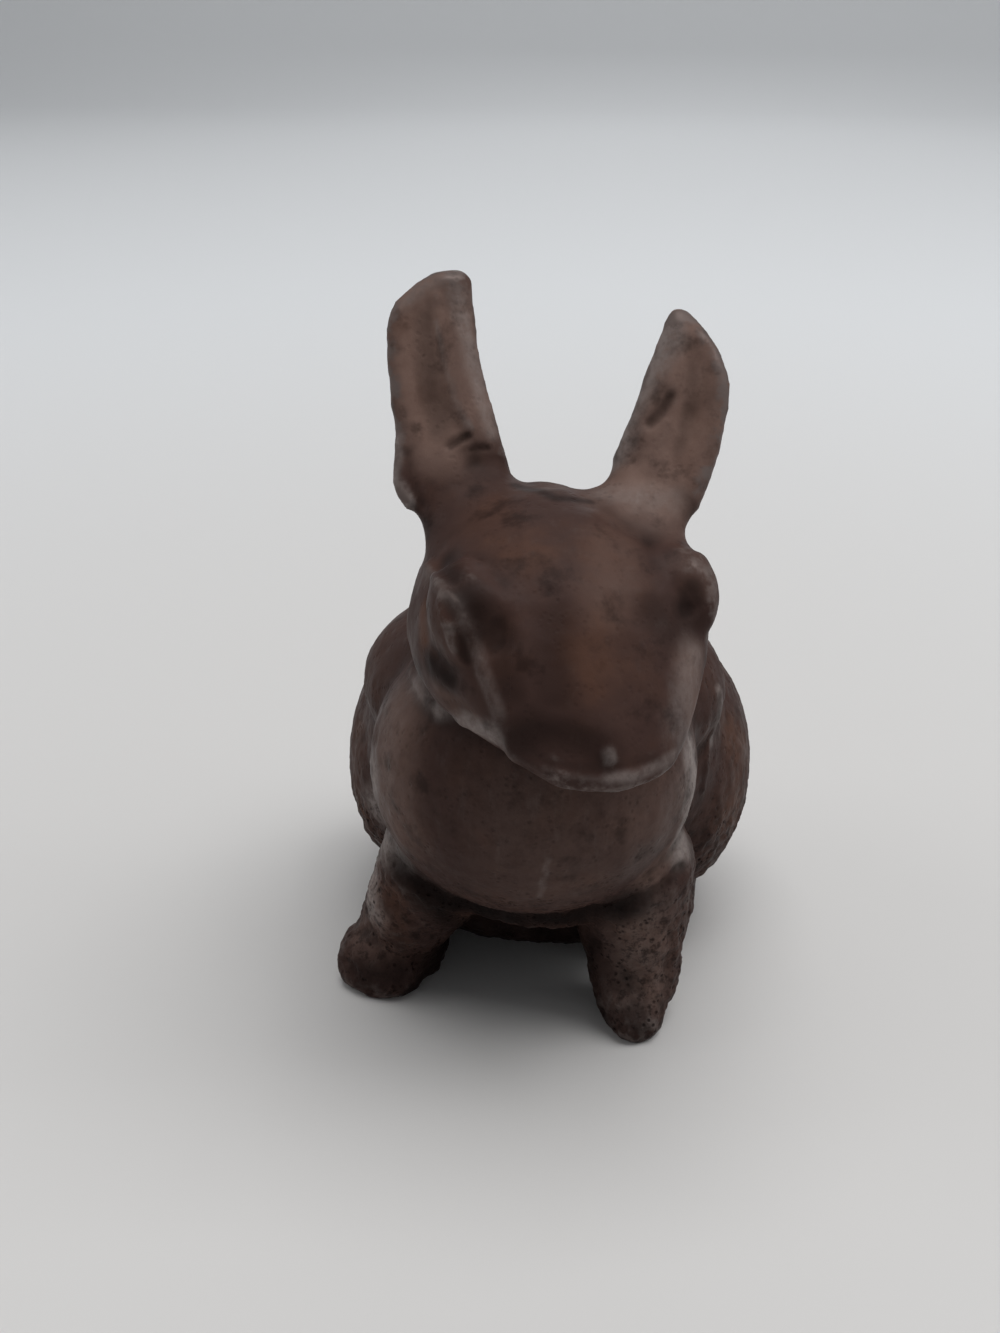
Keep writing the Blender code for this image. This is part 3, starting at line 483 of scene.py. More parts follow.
class NodeSheet:
    """A short way to lay out shader nodes and join them."""

    spacing = 180
    # The Mix node keeps sockets for every kind of value; these numbers are those for colours.
    mix_share = 0
    mix_colours = (6, 7)
    mix_result = 2

    def __init__(self, tree: bpy.types.NodeTree) -> None:
        """Takes a node tree and empties it.

        Args:
            tree: the tree to fill.
        """
        self.tree = tree
        self.tree.nodes.clear()
        self.column = 0

    def node(self, kind: str, **settings: object) -> bpy.types.Node:
        """Adds a node.

        Args:
            kind: the node's type.
            settings: its values by name.

        Returns:
            The new node.
        """
        made = self.tree.nodes.new(kind)
        made.location = (self.column, 0)
        self.column += self.spacing
        for name, value in settings.items():
            setattr(made, name, value)
        return made

    def put(self, socket: bpy.types.NodeSocket, value: object) -> None:
        """Gives a socket a plain value, or joins another node's output to it.

        Args:
            socket: the socket to fill.
            value: the value or output.
        """
        if isinstance(value, bpy.types.NodeSocket):
            self.tree.links.new(value, socket)
        else:
            socket.default_value = value

    def feed(self, node: bpy.types.Node, **inputs: object) -> bpy.types.Node:
        """Fills a node's inputs.

        Args:
            node: the node to feed.
            inputs: a value or output for each socket, named in lower case with underscores.

        Returns:
            The same node.
        """
        for name, value in inputs.items():
            wanted = name.replace("_", " ").lower()
            self.put(next(s for s in node.inputs if s.name.lower() == wanted and s.enabled), value)
        return node

    def noise(self, vector: bpy.types.NodeSocket, scale: float, detail: float,
              rough: float) -> bpy.types.NodeSocket:
        """Adds a noise pattern.

        Args:
            vector: the coordinates it reads.
            scale: features for each metre.
            detail: number of finer layers.
            rough: strength of the finer layers.

        Returns:
            The pattern's output, from 0 to 1.
        """
        made = self.node("ShaderNodeTexNoise")
        self.feed(made, vector=vector, scale=scale, detail=detail, roughness=rough)
        return made.outputs["Fac"]

    def cells(self, vector: bpy.types.NodeSocket, scale: float) -> bpy.types.NodeSocket:
        """Adds a pattern of cells that is 0 in their middles."""
        made = self.node("ShaderNodeTexVoronoi", feature="F1")
        return self.feed(made, vector=vector, scale=scale).outputs["Distance"]

    def spread(self, value: bpy.types.NodeSocket, low: float, high: float, least: float = 0.0,
               most: float = 1.0) -> bpy.types.NodeSocket:
        """Stretches a range of values to another, and holds it there.

        Args:
            value: what to stretch.
            low: the value that becomes least.
            high: the value that becomes most.
            least: the result at low.
            most: the result at high.

        Returns:
            The stretched output.
        """
        made = self.node("ShaderNodeMapRange", interpolation_type="SMOOTHSTEP")
        self.feed(made, value=value, from_min=low, from_max=high, to_min=least, to_max=most)
        return made.outputs["Result"]

    def patches(self, vector: bpy.types.NodeSocket, kind: Patches) -> bpy.types.NodeSocket:
        """Adds noise in patches."""
        noise = self.noise(vector, kind.scale, kind.detail, kind.rough)
        return self.spread(noise, kind.low, kind.high, kind.least, kind.most)

    def combine(self, kind: str, first: object, second: object) -> bpy.types.NodeSocket:
        """Joins two values by arithmetic.

        Args:
            kind: the operation, such as MULTIPLY.
            first: the first value or output.
            second: the second value or output.

        Returns:
            The result.
        """
        made = self.node("ShaderNodeMath", operation=kind, use_clamp=False)
        self.put(made.inputs[0], first)
        self.put(made.inputs[1], second)
        return made.outputs[0]

    def blend(self, share: bpy.types.NodeSocket, first: object,
              second: object) -> bpy.types.NodeSocket:
        """Mixes two colours.

        Args:
            share: how much of the second to show.
            first: the first colour or output.
            second: the second colour or output.

        Returns:
            The mixed colour.
        """
        made = self.node("ShaderNodeMix", data_type="RGBA", blend_type="MIX")
        self.put(made.inputs[self.mix_share], share)
        for number, value in zip(self.mix_colours, (first, second)):
            plain = not isinstance(value, bpy.types.NodeSocket)
            self.put(made.inputs[number], (*value, 1.0) if plain else value)
        return made.outputs[self.mix_result]

    def relief(self, height: bpy.types.NodeSocket, strength: float,
               depth: float) -> bpy.types.NodeSocket:
        """Turns a height into bumps.

        Args:
            height: the height's output.
            strength: how strongly the bumps show.
            depth: the height's full depth in metres.

        Returns:
            The bumped normal.
        """
        made = self.node("ShaderNodeBump")
        self.feed(made, strength=strength, distance=depth, height=height)
        return made.outputs["Normal"]

    def shade(self, **inputs: object) -> None:
        """Puts one Principled shader on the surface."""
        shader = self.feed(self.node("ShaderNodeBsdfPrincipled"), **inputs)
        self.feed(self.node("ShaderNodeOutputMaterial"), surface=shader.outputs["BSDF"])


def new_material(name: str) -> tuple[bpy.types.Material, NodeSheet, bpy.types.NodeSocket]:
    """Makes an empty material.

    Args:
        name: the material's name.

    Returns:
        The material, its sheet and the object coordinates.
    """
    material = bpy.data.materials.new(name)
    material.use_nodes = True
    sheet = NodeSheet(material.node_tree)
    return material, sheet, sheet.node("ShaderNodeTexCoord").outputs["Object"]


def new_group(name: str, inputs: dict[str, str],
              outputs: dict[str, str]) -> tuple[NodeSheet, bpy.types.Node, bpy.types.Node]:
    """Makes an empty shader node group.

    Args:
        name: the group's name.
        inputs: the socket type for each input's name.
        outputs: the socket type for each output's name.

    Returns:
        The group's sheet, and its input and output nodes.
    """
    group = bpy.data.node_groups.new(name, "ShaderNodeTree")
    for side, sockets in (("INPUT", inputs), ("OUTPUT", outputs)):
        for label, kind in sockets.items():
            group.interface.new_socket(label, in_out=side, socket_type=kind)
    sheet = NodeSheet(group)
    return sheet, sheet.node("NodeGroupInput"), sheet.node("NodeGroupOutput")


@dataclass(frozen=True)
class SandSkin:
    """The skin that moulding sand leaves: lumps, grains and pits."""

    lump_scale: float = 520.0
    lump_layers: float = 3.0
    grain_scale: float = 2300.0
    grain_layers: float = 2.0
    layer_strength: float = 0.6
    pit_scale: float = 1150.0
    pit_edge: tuple[float, float] = (0.10, 0.42)
    pitted: Patches = Patches(310.0, 2.0, 0.5, 0.42, 0.62)
    lump_height: float = 0.55
    grain_height: float = 0.25
    pit_depth: float = 0.5

    def build(self) -> bpy.types.NodeTree:
        """Makes the group.

        Returns:
            A group with a height and a mask of the pits.
        """
        sheet, given, result = new_group(
            "sand_skin", {"Vector": "NodeSocketVector", "Roughness": "NodeSocketFloat"},
            {"Height": "NodeSocketFloat", "Pits": "NodeSocketFloat"})
        vector, rough = given.outputs["Vector"], given.outputs["Roughness"]
        lumps = sheet.noise(vector, self.lump_scale, self.lump_layers, self.layer_strength)
        grains = sheet.noise(vector, self.grain_scale, self.grain_layers, self.layer_strength)
        rims = sheet.spread(sheet.cells(vector, self.pit_scale), *self.pit_edge)
        where = sheet.patches(vector, self.pitted)
        pits = sheet.combine("MULTIPLY", sheet.combine("SUBTRACT", 1.0, rims), where)
        pits = sheet.combine("MULTIPLY", pits, rough)
        lumps = sheet.combine("MULTIPLY", lumps, self.lump_height)
        grains = sheet.combine("MULTIPLY", grains, self.grain_height)
        ground = sheet.combine("MULTIPLY", sheet.combine("ADD", lumps, grains), rough)
        depth = sheet.combine("MULTIPLY", pits, self.pit_depth)
        sheet.feed(result, height=sheet.combine("SUBTRACT", ground, depth), pits=pits)
        return sheet.tree


@dataclass(frozen=True)
class HandlingAndShading:
    """The marks of handling, with painted light: bare metal and painted highlights on raised
    places, dirt and painted shade in hollows.
    """

    broken: Patches = Patches(420.0, 4.0, 0.65, 0.30, 0.66)
    soft: Patches = Patches(180.0, 3.0, 0.5, 0.25, 0.75, 0.55, 1.0)
    bare_and_highlight_edge: tuple[float, float] = (0.12, 0.75)

    def build(self) -> bpy.types.NodeTree:
        """Makes the group.

        Returns:
            A group with a mask of bare metal and painted highlight, and a mask of dirt and painted
            shade.
        """
        sheet, given, result = new_group(
            "handling",
            {"Vector": "NodeSocketVector", "Raised": "NodeSocketFloat", "Sunk": "NodeSocketFloat"},
            {"Bare": "NodeSocketFloat", "Dirt": "NodeSocketFloat"})
        vector = given.outputs["Vector"]
        bare = sheet.combine(
            "MULTIPLY", given.outputs["Raised"], sheet.patches(vector, self.broken))
        dirt = sheet.combine("MULTIPLY", given.outputs["Sunk"], sheet.patches(vector, self.soft))
        sheet.feed(result, bare=sheet.spread(bare, *self.bare_and_highlight_edge), dirt=dirt)
        return sheet.tree


@dataclass(frozen=True)
class IronFinish:
    """Browned cast iron under old wax, worn grey where it is touched, with painted highlights,
    painted light and painted shade laid into its colour.
    """

    name: str
    # The tan colour is painted light, the pale dust colour also paints highlights and sheen, the
    # bare colour also paints highlights on ridges, and black also paints shade.
    brown: tuple[float, float, float] = (0.0500, 0.0275, 0.0230)
    warm: tuple[float, float, float] = (0.086, 0.041, 0.027)
    tan: tuple[float, float, float] = (0.205, 0.132, 0.108)
    black: tuple[float, float, float] = (0.0050, 0.0022, 0.0017)
    bare: tuple[float, float, float] = (0.125, 0.096, 0.087)
    dust: tuple[float, float, float] = (0.260, 0.220, 0.205)
    clouds: Patches = Patches(150.0, 4.0, 0.6, 0.36, 0.70, 0.0, 0.45)
    uneven: Patches = Patches(190.0, 5.0, 0.65, 0.25, 0.70, 0.55, 1.0)
    streaks: Patches = Patches(560.0, 4.0, 0.65, 0.48, 0.78, 0.0, 0.14)
    drained: tuple[float, float, float] = (1.0, 1.0, 0.28)
    worn: Patches = Patches(620.0, 5.0, 0.7, 0.22, 0.64, 0.50, 1.0)
    mottled: Patches = Patches(300.0, 4.0, 0.6, 0.20, 0.60, 0.75, 1.0)
    stains: Patches = Patches(240.0, 4.0, 0.6, 0.50, 0.74, 0.0, 0.55)
    specks: Patches = Patches(720.0, 5.0, 0.75, 0.47, 0.63, 0.0, 0.68)
    speckled: tuple[float, float] = (0.10, 0.85)
    gloss: Patches = Patches(260.0, 3.0, 0.5, 0.3, 0.7, 0.42, 0.60)
    full_rust: float = 1.35
    full_dust_and_highlight: float = 1.1
    dirt_and_shade_share: float = 0.85
    pit_share: float = 0.75
    pit_dullness: float = 0.25
    bare_metal: tuple[float, float, float, float] = (0.2, 1.0, 0.0, 0.35)
    relief_strength: float = 1.0
    relief_depth: float = 0.00040
    shine: float = 0.06

    def build(self, sand: bpy.types.NodeTree, handling: bpy.types.NodeTree) -> bpy.types.Material:
        """Makes the material.

        Args:
            sand: the sand skin group.
            handling: the group of handling marks, with bare metal and painted highlights, dirt and
                painted shade.

        Returns:
            The finished material.
        """
        material, sheet, vector = new_material(self.name)
        marked = {
            name: sheet.node("ShaderNodeAttribute", attribute_name=name).outputs["Fac"]
            for name in ("raised", "sunk", "coarse", "dust", "soot", "rust", "tan")}
        skin = sheet.feed(
            sheet.node("ShaderNodeGroup", node_tree=sand), vector=vector,
            roughness=marked["coarse"]).outputs
        marks = sheet.feed(
            sheet.node("ShaderNodeGroup", node_tree=handling), vector=vector,
            raised=marked["raised"], sunk=marked["sunk"]).outputs
        rust = sheet.combine("ADD", sheet.patches(vector, self.clouds), marked["rust"])
        colour = sheet.blend(sheet.spread(rust, 0.0, self.full_rust), self.brown, self.warm)
        # Painted light: a lighter tan where the light falls, in uneven patches.
        tan = sheet.combine("MULTIPLY", marked["tan"], sheet.patches(vector, self.uneven))
        colour = sheet.blend(tan, colour, self.tan)
        run = sheet.feed(sheet.node("ShaderNodeMapping"), vector=vector, scale=self.drained)
        streaks = sheet.patches(run.outputs[0], self.streaks)
        # Pale dust with running streaks, and painted highlights and sheen on the rims.
        dust = sheet.combine("MULTIPLY", marked["dust"], sheet.patches(vector, self.worn))
        dust = sheet.spread(sheet.combine("ADD", dust, streaks), 0.0, self.full_dust_and_highlight)
        colour = sheet.blend(dust, colour, self.dust)
        # Worn bare metal, and painted highlights on the raised places.
        colour = sheet.blend(marks["Bare"], colour, self.bare)
        # Near-black soot and painted shade by place, and dirt and painted shade in the hollows.
        soot = sheet.combine("MULTIPLY", marked["soot"], sheet.patches(vector, self.mottled))
        specks = sheet.combine(
            "MULTIPLY", sheet.patches(vector, self.specks),
            sheet.spread(marked["coarse"], *self.speckled))
        stains = sheet.combine("MAXIMUM", sheet.patches(vector, self.stains), specks)
        dirt = sheet.combine("MULTIPLY", marks["Dirt"], self.dirt_and_shade_share)
        dark = sheet.combine("MAXIMUM", soot, dirt)
        colour = sheet.blend(sheet.combine("MAXIMUM", dark, stains), colour, self.black)
        pits = sheet.combine("MULTIPLY", skin["Pits"], self.pit_share)
        colour = sheet.blend(pits, colour, self.black)
        dull = sheet.combine("MULTIPLY", skin["Pits"], self.pit_dullness)
        sheet.shade(
            base_color=colour,
            roughness=sheet.combine("ADD", sheet.patches(vector, self.gloss), dull),
            metallic=sheet.spread(marks["Bare"], *self.bare_metal),
            normal=sheet.relief(skin["Height"], self.relief_strength, self.relief_depth),
            specular_ior_level=self.shine)
        return material


@dataclass(frozen=True)
class SteelFinish:
    """Dulled fastener steel with patches of brown stain."""

    name: str
    steel: tuple[float, float, float] = (0.23, 0.215, 0.20)
    stain: tuple[float, float, float] = (0.070, 0.034, 0.018)
    rusted: Patches = Patches(700.0, 5.0, 0.7, 0.44, 0.62)
    turned: Patches = Patches(2600.0, 2.0, 0.5, 0.3, 0.7, 0.0, 0.35)
    turned_shade: float = 0.4
    etched: float = 0.35
    metal: tuple[float, float] = (0.95, 0.15)
    gloss: tuple[float, float] = (0.34, 0.75)
    relief_strength: float = 0.8
    relief_depth: float = 0.00008

    def build(self, sand: bpy.types.NodeTree) -> bpy.types.Material:
        """Makes the material.

        Args:
            sand: the sand skin group, used finely for the etched surface.

        Returns:
            The finished material.
        """
        material, sheet, vector = new_material(self.name)
        skin = sheet.feed(
            sheet.node("ShaderNodeGroup", node_tree=sand), vector=vector, roughness=self.etched)
        rust = sheet.patches(vector, self.rusted)
        colour = sheet.blend(rust, self.steel, self.stain)
        shaded = tuple(self.turned_shade * part for part in self.steel)
        colour = sheet.blend(sheet.patches(vector, self.turned), colour, shaded)
        sheet.shade(
            base_color=colour,
            roughness=sheet.spread(rust, 0.0, 1.0, *self.gloss),
            metallic=sheet.spread(rust, 0.0, 1.0, *self.metal),
            normal=sheet.relief(skin.outputs["Height"], self.relief_strength, self.relief_depth))
        return material


@dataclass(frozen=True)
class Coarseness:
    """How rough the casting is: rough feet, less rough flanks and body, smooth head."""

    everywhere: float = 0.14
    body: float = 0.18
    feet: float = 0.68
    flanks: float = 0.11
    feet_top: float = 0.027
    feet_fade: float = 0.008
    body_top: float = 0.052
    body_fade: float = 0.012
    flank_start: float = 0.018
    flank_fade: float = 0.004

    def at(self, points: np.ndarray) -> np.ndarray:
        """Says how rough the casting is at each point.

        Args:
            points: one row for each point.

        Returns:
            A value from 0 to 1 for each point.
        """
        height, aside = points[:, 2], np.abs(points[:, 0])
        feet = np.clip((self.feet_top - height) / self.feet_fade, 0, 1)
        body = np.clip((self.body_top - height) / self.body_fade, 0, 1)
        flanks = body * np.clip((aside - self.flank_start) / self.flank_fade, 0, 1)
        return self.everywhere + self.body * body + np.maximum(
            self.feet * feet, self.flanks * flanks)


@dataclass(frozen=True)
class WearAndShading:
    """Where hands rub the skin and painted highlights go, and where dirt stays and painted shade
    goes, read from its height over its eased self.
    """

    near_passes: int = 10
    far_passes: int = 70
    fine_height: float = 0.00008
    ridge_start: float = 0.00022
    ridge_height: float = 0.00045
    hollow_depth: float = 0.00024
    raised_shares: tuple[float, float] = (0.30, 0.75)
    sunk_shares: tuple[float, float] = (0.25, 0.8)

    def read(self, skin: bpy.types.Object) -> tuple[np.ndarray, np.ndarray]:
        """Rates each point of a skin.

        Args:
            skin: the skin to read.

        Returns:
            For each point, how much it stands proud and how much it is sunk.
        """
        points, normals, edges = points_of(skin), normals_of(skin), edges_of(skin)
        near = eased(points, edges, self.near_passes)
        far = eased(near, edges, self.far_passes)
        fine = np.einsum("ij,ij->i", points - near, normals)
        broad = np.einsum("ij,ij->i", near - far, normals)
        ridge = np.clip((broad - self.ridge_start) / self.ridge_height, 0, 1)
        hollow = np.clip(-broad / self.hollow_depth, 0, 1)
        raised = np.clip(fine / self.fine_height, 0, 1) * self.raised_shares[0]
        sunk = np.clip(-fine / self.fine_height, 0, 1) * self.sunk_shares[0]
        return raised + ridge * self.raised_shares[1], sunk + hollow * self.sunk_shares[1]


@dataclass
class RabbitCastings:
    """Both half castings, carved as one skin and parted on the seam."""

    step: float = 0.0004
    seam_overlap: float = 0.00025
    seam_gap: float = 0.000003
    sole_cut: float = 0.00005
    cut_threshold: float = 0.0000005
    merge_gap: float = 0.000001
    keep_size: tuple[float, float] = (0.5, -0.52)
    fairing_passes: int = 26
    crease_passes: int = 160
    crease_fullness: float = 0.7
    finishing_passes: int = 3
    rough_percents: range = range(14, 101, 2)
    laid_on_fullness: float = 1.4
    least_cut_sides: int = 8
    sole_slope: float = -0.999
    coarseness: Coarseness = Coarseness()
    wear_and_shading: WearAndShading = WearAndShading()

    def build(self) -> dict[Side, bpy.types.Object]:
        """Shapes the skin and parts it.

        Returns:
            The two castings by side.
        """
        skin = self.copied_skin()
        apply_modifier(skin, "REMESH", mode="VOXEL", voxel_size=self.step)
        self.fair(skin, self.fairing_passes)
        self.ease_creases(skin)
        for stroke in self.strokes():
            self.carve(skin, stroke)
        self.fair(skin, self.finishing_passes)
        self.roughen(skin)
        self.mark_patina_and_light(skin)
        self.part(skin, self.sole_cut, 2, 1)
        halves = {side: self.half(skin, side) for side in Side}
        bpy.data.objects.remove(skin)
        return halves

    def copied_skin(self) -> bpy.types.Object:
        """Copies both castings, merged and made to overlap a little at the seam.

        Returns:
            One joined object.
        """
        copies = []
        for side, node in CASTING_NODES.items():
            copy = bpy.data.objects.new(f"{node}_copy", frame["nodes"][node].data.copy())
            bpy.context.scene.collection.objects.link(copy)
            points = points_of(copy)
            at_seam = np.abs(points[:, 0]) < 2 * self.seam_overlap
            points[at_seam, 0] -= side.value * 2 * self.seam_overlap
            write_points(copy, points)
            copies.append(copy)
        take(*copies)
        bpy.ops.object.join()
        merge_close(copies[0], self.merge_gap)
        return copies[0]

    def fair(self, skin: bpy.types.Object, passes: int) -> None:
        """Smooths the skin and keeps its size."""
        write_points(skin, eased(points_of(skin), edges_of(skin), passes, self.keep_size))

    def strokes(self) -> list[Stroke]:
        """Lists the carving strokes of face, ears, chest and paws.

        Returns:
            Strokes with paths in the model's axes and metres.
        """
        return [
            Stroke(np.array(path) / MM_PER_M, reach / MM_PER_M, lift / MM_PER_M, crisp)
            for path, reach, lift, crisp in FACE_STROKES + EAR_STROKES + BODY_STROKES]

    def ease_creases(self, skin: bpy.types.Object) -> None:
        """Lets the ears flow into the forehead.

        Args:
            skin: the skin to ease.
        """
        points = points_of(skin)
        smooth = eased(points, edges_of(skin), self.crease_passes)
        for path, reach in EASED_PLACES:
            near = nearness(points, np.array(path) / MM_PER_M, reach / MM_PER_M)
            weight = (near ** self.crease_fullness)[:, None]
            points = points + weight * (smooth - points)
        write_points(skin, points)

    def carve(self, skin: bpy.types.Object, stroke: Stroke) -> None:
        """Raises or presses the skin along a stroke.

        Args:
            skin: the skin to carve.
            stroke: the stroke to make.
        """
        points, normals = points_of(skin), normals_of(skin)
        weight = nearness(points, stroke.path, stroke.reach) ** (1 + stroke.crisp)
        write_points(skin, points + normals * (weight * stroke.lift)[:, None])

    def roughen(self, skin: bpy.types.Object) -> None:
        """Gives the skin the lumps and pits of sand casting.

        Args:
            skin: the skin to roughen.
        """
        group = skin.vertex_groups.new(name="sand")
        percent = self.coarseness.at(points_of(skin)) * 100
        for level in self.rough_percents:
            chosen = np.nonzero(np.abs(percent - level) <= self.rough_percents.step / 2)[0]
            group.add(chosen.tolist(), level / 100, "REPLACE")
        for name, kind, scale, strength in SAND_TEXTURES:
            texture = bpy.data.textures.new(name, kind)
            texture.noise_scale = scale
            apply_modifier(
                skin, "DISPLACE", texture=texture, texture_coords="GLOBAL", strength=strength,
                mid_level=0.5, vertex_group="sand")

    def mark_patina_and_light(self, skin: bpy.types.Object) -> None:
        """Stores where the skin stands proud, where it is sunk, its patina and painted light, and
        its normals.

        Args:
            skin: the skin to mark.
        """
        points, normals = points_of(skin), normals_of(skin)
        raised, sunk = self.wear_and_shading.read(skin)
        marks = {
            "raised": raised,
            "sunk": sunk,
            "coarse": self.coarseness.at(points),
            "dust": self.laid_on(points, DUST_AND_HIGHLIGHT_PLACES),
            "soot": self.laid_on(points, SOOT_AND_SHADE_PLACES),
            "rust": self.laid_on(points, RUSTY_PLACES),
            "tan": self.laid_on(points, PAINTED_LIGHT_PLACES),
        }
        for name, values in marks.items():
            layer = skin.data.attributes.new(name, "FLOAT", "POINT")
            layer.data.foreach_set("value", np.clip(values, 0, 1).astype(np.float32))
        layer = skin.data.attributes.new("whole_normal", "FLOAT_VECTOR", "POINT")
        layer.data.foreach_set("vector", normals.astype(np.float32).ravel())

    def laid_on(self, points: np.ndarray, places: tuple) -> np.ndarray:
        """Works out how much of a laid-on mark, such as patina, painted light or painted shade,
        lies at each point.

        Args:
            points: one row for each point.
            places: the mark's places.

        Returns:
            A value from 0 to 1 for each point.
        """
        amount = np.zeros(len(points))
        for path, reach, strength in places:
            near = nearness(points, np.array(path) / MM_PER_M, reach / MM_PER_M)
            amount = np.maximum(amount, strength * near ** self.laid_on_fullness)
        return amount

    def part(self, piece: bpy.types.Object, place: float, axis: int, keep: int) -> None:
        """Cuts a piece on a plane, closes the cut and keeps one side.

        Args:
            piece: the piece to cut.
            place: where the plane crosses its axis.
            axis: the axis that the plane stands across, as 0 to 2.
            keep: 1 to keep the side of higher values and -1 the other.
        """
        centre, direction = [0.0] * 3, [0.0] * 3
        centre[axis], direction[axis] = place, keep
        with editing(piece):
            bpy.ops.mesh.bisect(
                plane_co=centre, plane_no=direction, use_fill=True, clear_inner=True,
                threshold=self.cut_threshold)

    def half(self, skin: bpy.types.Object, side: Side) -> bpy.types.Object:
        """Parts one casting from the skin.

        Args:
            skin: the whole skin.
            side: the side to keep.

        Returns:
            The casting.
        """
        take(skin)
        bpy.ops.object.duplicate()
        piece = bpy.context.object
        piece.name = f"{side.name.lower()}_casting"
        self.part(piece, side.value * self.seam_gap / 2, 0, side.value)
        bpy.ops.object.shade_smooth()
        self.keep_normals(piece)
        return piece

    def keep_normals(self, piece: bpy.types.Object) -> None:
        """Shades the skin as it was before it was parted, so that the seam stays a hairline.

        The flat cuts, which are one face of many sides at the seam and face down at the soles,
        keep their own normals.

        Args:
            piece: the casting.
        """
        mesh = piece.data
        sizes = numbers_of(mesh.polygons, "loop_total", 1, int)
        face_of = np.repeat(np.arange(len(sizes)), sizes)
        face_normals = numbers_of(mesh.polygons, "normal", 3)[face_of]
        whole = numbers_of(mesh.attributes["whole_normal"].data, "vector", 3, np.float32)
        skin_normals = whole[numbers_of(mesh.loops, "vertex_index", 1, int)]
        is_cut = (sizes[face_of] > self.least_cut_sides) | (face_normals[:, 2] < self.sole_slope)
        chosen = np.where(is_cut[:, None], face_normals, skin_normals)
        mesh.attributes.remove(mesh.attributes["whole_normal"])
        mesh.normals_split_custom_set(chosen.tolist())


@dataclass
class TieScrew:
    """The slotted round-head screw that draws the castings together."""

    axis_y: float
    axis_z: float
    seat_x: float
    tip_x: float
    shank: float = 0.0040
    head: float = 0.0082
    head_height: float = 0.0026
    rim: float = 0.0006
    pitch: float = 0.0007
    thread_depth: float = 0.00035
    thread_sunk: float = 0.0002
    thread_width: float = 0.72
    thread_steps: int = 28
    threaded: float = 0.0200
    slot_width: float = 0.0012
    slot_depth: float = 0.0013
    broken_edge: float = 0.00012
    least_edge_angle: float = math.radians(50)
    merge_gap: float = 0.000004

    def build(self) -> bpy.types.Object:
        """Shapes head, shank, thread and slot.

        Returns:
            The screw.
        """
        deselect()
        bpy.ops.mesh.primitive_uv_sphere_add(segments=64, ring_count=32, radius=self.head / 2)
        screw = bpy.context.object
        screw.name = "tie_screw_turned"
        plain = self.seat_x - self.tip_x - self.threaded
        with editing(screw):
            bpy.ops.mesh.bisect(
                plane_co=(0, 0, 0), plane_no=(0, 0, 1), use_fill=True, clear_inner=True)
            bpy.ops.mesh.select_all(action="SELECT")
            dome = (self.head_height - self.rim) / (self.head / 2)
            bpy.ops.transform.resize(value=(1, 1, dome))
            bpy.ops.transform.translate(value=(0, 0, self.rim))
            self.pick_faces(screw, lambda centre, normal: normal.z < FACING_DOWN)
            self.draw_out(self.rim)
            bpy.ops.mesh.inset(thickness=self.head / 2 - self.shank / 2)
            self.draw_out(plain)
            bpy.ops.mesh.inset(thickness=self.thread_depth)
            self.draw_out(self.threaded)
        self.cut_slot(screw)
        thread = self.thread(-plain)
        take(screw, thread)
        bpy.ops.object.join()
        screw.rotation_euler = (0, math.pi / 2, 0)
        screw.location = (self.seat_x, self.axis_y, self.axis_z)
        settle(screw)
        bpy.ops.object.shade_smooth_by_angle(angle=SHARP_EDGE)
        return screw

    def draw_out(self, length: float) -> None:
        """Extrudes the selected faces downwards."""
        bpy.ops.mesh.extrude_region_move(TRANSFORM_OT_translate={"value": (0, 0, -length)})

    def pick_faces(self, piece: bpy.types.Object,
                   wanted: Callable[[Vector, Vector], bool]) -> None:
        """Selects faces in edit mode by their place and normal.

        Args:
            piece: the piece in edit mode.
            wanted: a test of a face's centre and normal.
        """
        bpy.ops.mesh.select_all(action="DESELECT")
        bpy.ops.object.mode_set(mode="OBJECT")
        for face in piece.data.polygons:
            face.select = wanted(face.center, face.normal)
        bpy.ops.object.mode_set(mode="EDIT")
        bpy.ops.mesh.select_mode(type="FACE")

    def cut_slot(self, screw: bpy.types.Object) -> None:
        """Cuts the driver slot across the head and breaks the edges.

        Args:
            screw: the screw, standing on z.
        """
        deselect()
        bpy.ops.mesh.primitive_cube_add(
            size=1, location=(0, 0, self.head_height),
            scale=(self.slot_width, 2 * self.head, 2 * self.slot_depth))
        cut_away(screw, bpy.context.object)
        apply_modifier(
            screw, "BEVEL", width=self.broken_edge, segments=2, limit_method="ANGLE",
            angle_limit=self.least_edge_angle)
        merge_close(screw, self.merge_gap)

    def thread(self, top: float) -> bpy.types.Object:
        """Winds the thread as a closed ridge round the shank's core.

        Args:
            top: where the thread starts below the head's seat.

        Returns:
            The thread.
        """
        deselect()
        bpy.ops.mesh.primitive_circle_add(
            vertices=3, radius=self.pitch / 2, fill_type="NGON", rotation=(math.pi / 2, 0, 0))
        ridge = bpy.context.object
        ridge.name = "thread"
        settle(ridge)
        root = self.shank / 2 - self.thread_depth - self.thread_sunk
        foot = self.thread_width / 2 * self.pitch
        write_points(ridge, np.array([(root, 0, -foot), (root, 0, foot), (self.shank / 2, 0, 0)]))
        turns = int((self.threaded - 2 * self.pitch) / self.pitch)
        ridge.location = (0, 0, top - self.threaded + self.pitch)
        settle(ridge)
        apply_modifier(
            ridge, "SCREW", angle=2 * math.pi, screw_offset=self.pitch, iterations=turns,
            steps=self.thread_steps, render_steps=self.thread_steps, use_normal_calculate=True)
        with editing(ridge):
            bpy.ops.mesh.fill_holes(sides=3)
            bpy.ops.mesh.normals_make_consistent(inside=False)
        return ridge


